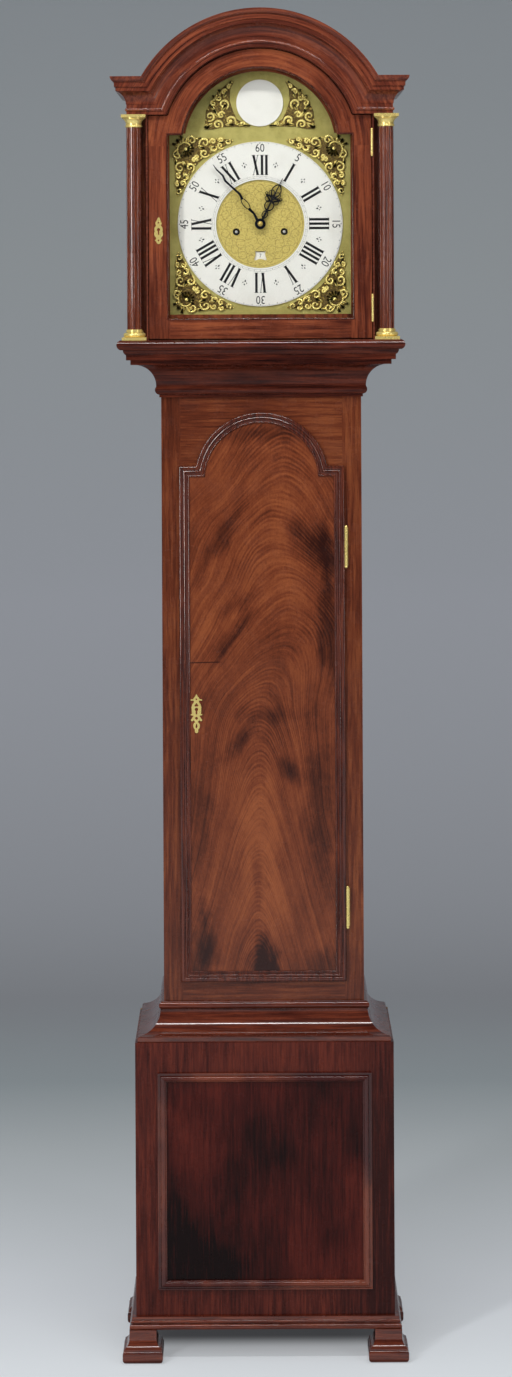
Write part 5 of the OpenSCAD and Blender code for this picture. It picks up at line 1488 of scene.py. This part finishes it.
@dataclass
class Case(Assembly):
    """The case in mahogany, its hidden boards in oak, and the edges run round its two doors."""

    finishes: Finishes = (
        (Mahogany("mahogany_upright"), ("trunk_sides", "base_carcase", "hood_sides")),
        (Mahogany("mahogany_turned", varnish=0.9, blotch=0.15, coat_ior=1.6, phase=9.0),
         ("hood_columns",)),
        (Mahogany("mahogany_hood", light=srgb(152, 82, 50), middle=srgb(118, 58, 37),
                  dark=srgb(66, 27, 19), rails=((0.15, 1.60, 1.7236), (0.30, ARCH_Z, 2.4)),
                  # painted shade: the hood's frame darker towards its right-hand side
                  arch=ARCH_Z, dusk=(1.0, 0.0, 0.03, 0.16, 0.24), phase=1.0),
         ("hood_door_frame", "hood_mask")),
        (Mahogany("mahogany_arch", Grain.ACROSS, light=srgb(126, 67, 46), middle=srgb(96, 48, 36),
                  dark=srgb(66, 29, 22), arch=ARCH_Z, phase=7.0), ("hood_front_board",)),
        (Mahogany("mahogany_moulding", Grain.ACROSS, light=srgb(124, 58, 36),
                  middle=srgb(90, 38, 24), dark=srgb(52, 18, 12), varnish=0.9, gloss=0.08,
                  # painted shade: the mouldings darker upwards from 1.48 m, under the hood
                  blotch=0.25, dusk=(0.0, 1.0, 1.48, 1.62, 0.16), coat_ior=1.6, phase=2.0),
         ("plinth_moulding", "shoulder_moulding", "throat_moulding", "hood_base_moulding", "feet")),
        (Mahogany("mahogany_cornice", Grain.ACROSS, light=srgb(140, 72, 46),
                  middle=srgb(104, 48, 32), dark=srgb(62, 24, 17), varnish=0.9, blotch=0.25,
                  arch=ARCH_Z, coat_ior=1.6, phase=3.0), ("hood_cornice", "hood_roof")),
        (Mahogany("mahogany_trunk", light=srgb(130, 70, 40), middle=srgb(98, 46, 27),
                  dark=srgb(60, 25, 16), rails=((0.135, 1.478, 1.60), (0.135, 0.55, 0.6155)),
                  phase=4.0), ("trunk_front_frame",)),
        (Mahogany("mahogany_base", light=srgb(106, 45, 31), middle=srgb(80, 31, 23),
                  # painted shade: the base's front frame darker at its right-hand edge
                  dark=srgb(46, 15, 12), varnish=0.12, gloss=0.1, dusk=(1.0, 0.0, 0.11, 0.20, 0.42),
                  phase=5.0), ("base_front_frame",)),
        (Mahogany("mahogany_panel", light=srgb(94, 35, 26), middle=srgb(64, 20, 16),
                  dark=srgb(18, 5, 5), blotch=0.62, varnish=0.1, gloss=0.08,
                  # painted shade: the panel darker towards its lower left
                  field=(0.1622, 0.1325, 0.4605), dusk=(-1.0, -0.6, -0.11, 0.02, 0.5), phase=6.0),
         ("base_panel",)),
        (FlameMahogany("mahogany_flame"), ("trunk_door_board",)),
        (Oak("oak_board"), ("backboard", "seatboard")))
    wood: Mahogany = Mahogany("mahogany_edge", light=srgb(108, 50, 30), middle=srgb(78, 32, 20),
                              dark=srgb(44, 15, 10), varnish=1.0, blotch=0.2, haze=0.15,
                              phase=8.0)
    door: Arched = Arched(0.138, 0.616, 1.476, 0.1123, 1.4534)
    opening: Arched = Arched(0.1525, 1.7236, 2.0275, 0.129, ARCH_Z)
    lip: Table = ((0.0, 0.0), (0.0, 2.2), (0.6, 3.1), (2.0, 3.8), (3.6, 4.0), (5.2, 3.8),
                  (6.5, 3.0), (6.9, 2.2), (7.2, 1.9), (8.4, 2.8), (9.7, 3.1), (10.2, 2.7),
                  (10.7, 1.8), (11.8, 1.1), (13.2, 0.7), (14.5, 0.7), (14.8, 1.4), (15.4, 2.0),
                  (16.2, 2.3), (17.0, 2.0), (17.45, 1.3), (17.5, 0.0))
    rebate: float = -0.0029
    sunk: float = 0.0030

    def run_edges(self) -> None:
        """Runs the lip round the trunk door and the ovolo round the hood door's glass."""
        wood = self.wood.paint()
        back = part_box("trunk_door_moulding")[1][1]
        run = self.door.moulding([(d * MM, back - out * MM) for d, out in self.lip])
        place_piece(run, "door_edge", "trunk_door", "mahogany", wood, "trunk_door_moulding")
        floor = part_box("hood_door_frame")[0][1] + self.sunk
        ovolo = [(self.rebate + 0.0031 * math.sin(a), floor - 0.0034 * math.cos(a))
                 for a in spaced(math.pi / 2, 6)]
        bead = self.opening.moulding([*ovolo, (self.rebate, floor)])
        place_piece(bead, "glass_ovolo", "hood_door", "mahogany", wood)

    def build(self) -> None:
        """Does all of the case."""
        self.dress()
        self.run_edges()


@dataclass
class Fittings(Assembly):
    """The case's brasses and the hood door's glass."""

    finishes: Finishes = (
        (Brass("bright_brass", srgb(250, 226, 140), srgb(214, 178, 92), 0.2, 0.35, 0.55),
         ("column_brasses", "trunk_hinge_leaves", "hood_hinge_leaves", "trunk_door_brasses",
          "hood_door_brasses")),
        (ClearGlass("old_glass"), ("hood_door_glass",)))


@dataclass
class Movement(Assembly):
    """The movement, its weights and its pendulum."""

    finishes: Finishes = (
        (Brass("movement_brass", polish=0.3),
         ("pillars_and_feet", "front_plate", "back_plate", "cock_and_bell_stand", "bell",
          "centre_wheel", "cannon_wheel", "minute_wheel", "hour_wheel", "great_wheel",
          "going_barrel", "third_wheel", "escape_wheel", "strike_great_wheel", "strike_barrel",
          "pin_wheel", "warning_wheel", "fly", "going_pulley", "strike_pulley", "pendulum")),
        (Steel("bright_steel", srgb(176, 178, 182), srgb(120, 122, 126), 0.95, 0.25),
         ("pallets", "hammer")),
        (Brass("weight_brass", srgb(222, 190, 106), srgb(170, 138, 66), 0.18, 0.4),
         ("going_weight", "strike_weight")),
        (Steel("blued_steel"), ("minute_hand", "hour_hand")))


@dataclass
class Lines:
    """The two gut lines: a loop under each pulley, a rise, and turns on a barrel."""

    seat_z: float = 1.7882
    barrel_z: float = 1.8672
    reach: float = 0.0218
    travel: float = 1.04
    turns_front: float = -0.0165
    pitch: float = 0.0026
    turns: int = 15
    facets: int = 20
    clearance: float = 0.0002
    gut: Gut = Gut("twisted_gut")

    def hang(self, kind: str, side: int) -> None:
        """Hangs one line.

        Args:
            kind: The train that it drives, as in the nodes' names.
            side: -1 on the left, 1 on the right.
        """
        low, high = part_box(f"{kind}_line")
        x, y = side * ARBOR_X, (low[1] + high[1]) / 2
        thick = (high[0] - low[0]) / 2 - self.reach
        pulley_z = low[2] + self.reach + thick
        finish = self.gut.paint()
        arc = [(x - self.reach * math.cos(a), y, pulley_z - self.reach * math.sin(a))
               for a in spaced(math.pi, 16)]
        way = [(x - self.reach, y, self.seat_z), *arc, (x + self.reach, y, self.seat_z)]
        loop = bent_rod(way, [thick] * len(way), 2)
        place_piece(loop, f"{kind}_gut", "case", "gut", finish, f"{kind}_line")
        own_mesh(loop)
        rise = bent_rod([(x + side * self.reach, y, self.seat_z),
                         (x + side * self.reach, y, self.barrel_z)], [thick, thick], 2)
        place_piece(rise, f"{kind}_gut_rise", "case", "gut", finish)
        wound = self.reach + self.clearance
        way = [(x + wound * math.cos(a), self.turns_front + self.pitch * a / math.tau,
                self.barrel_z + wound * math.sin(a))
               for a in spaced(math.tau * self.turns, self.turns * self.facets)]
        coil = bent_rod(way, [thick] * len(way), 1)
        place_piece(coil, f"{kind}_gut_turns", f"{kind}_barrel", "gut", finish)

    def build(self) -> None:
        """Does both lines."""
        self.hang("strike", -1)
        self.hang("going", 1)


def main() -> None:
    """Builds the studio and the clock, and notes the size of what is shown."""
    logging.basicConfig(level=logging.INFO, format="%(name)s: %(message)s")
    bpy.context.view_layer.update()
    Studio().set_up()
    for part in (Case(), Fittings(), Dial(), Movement(), Lines()):
        part.build()
        LOG.info("%s is done", type(part).__name__)


if __name__ == "__main__":
    main()
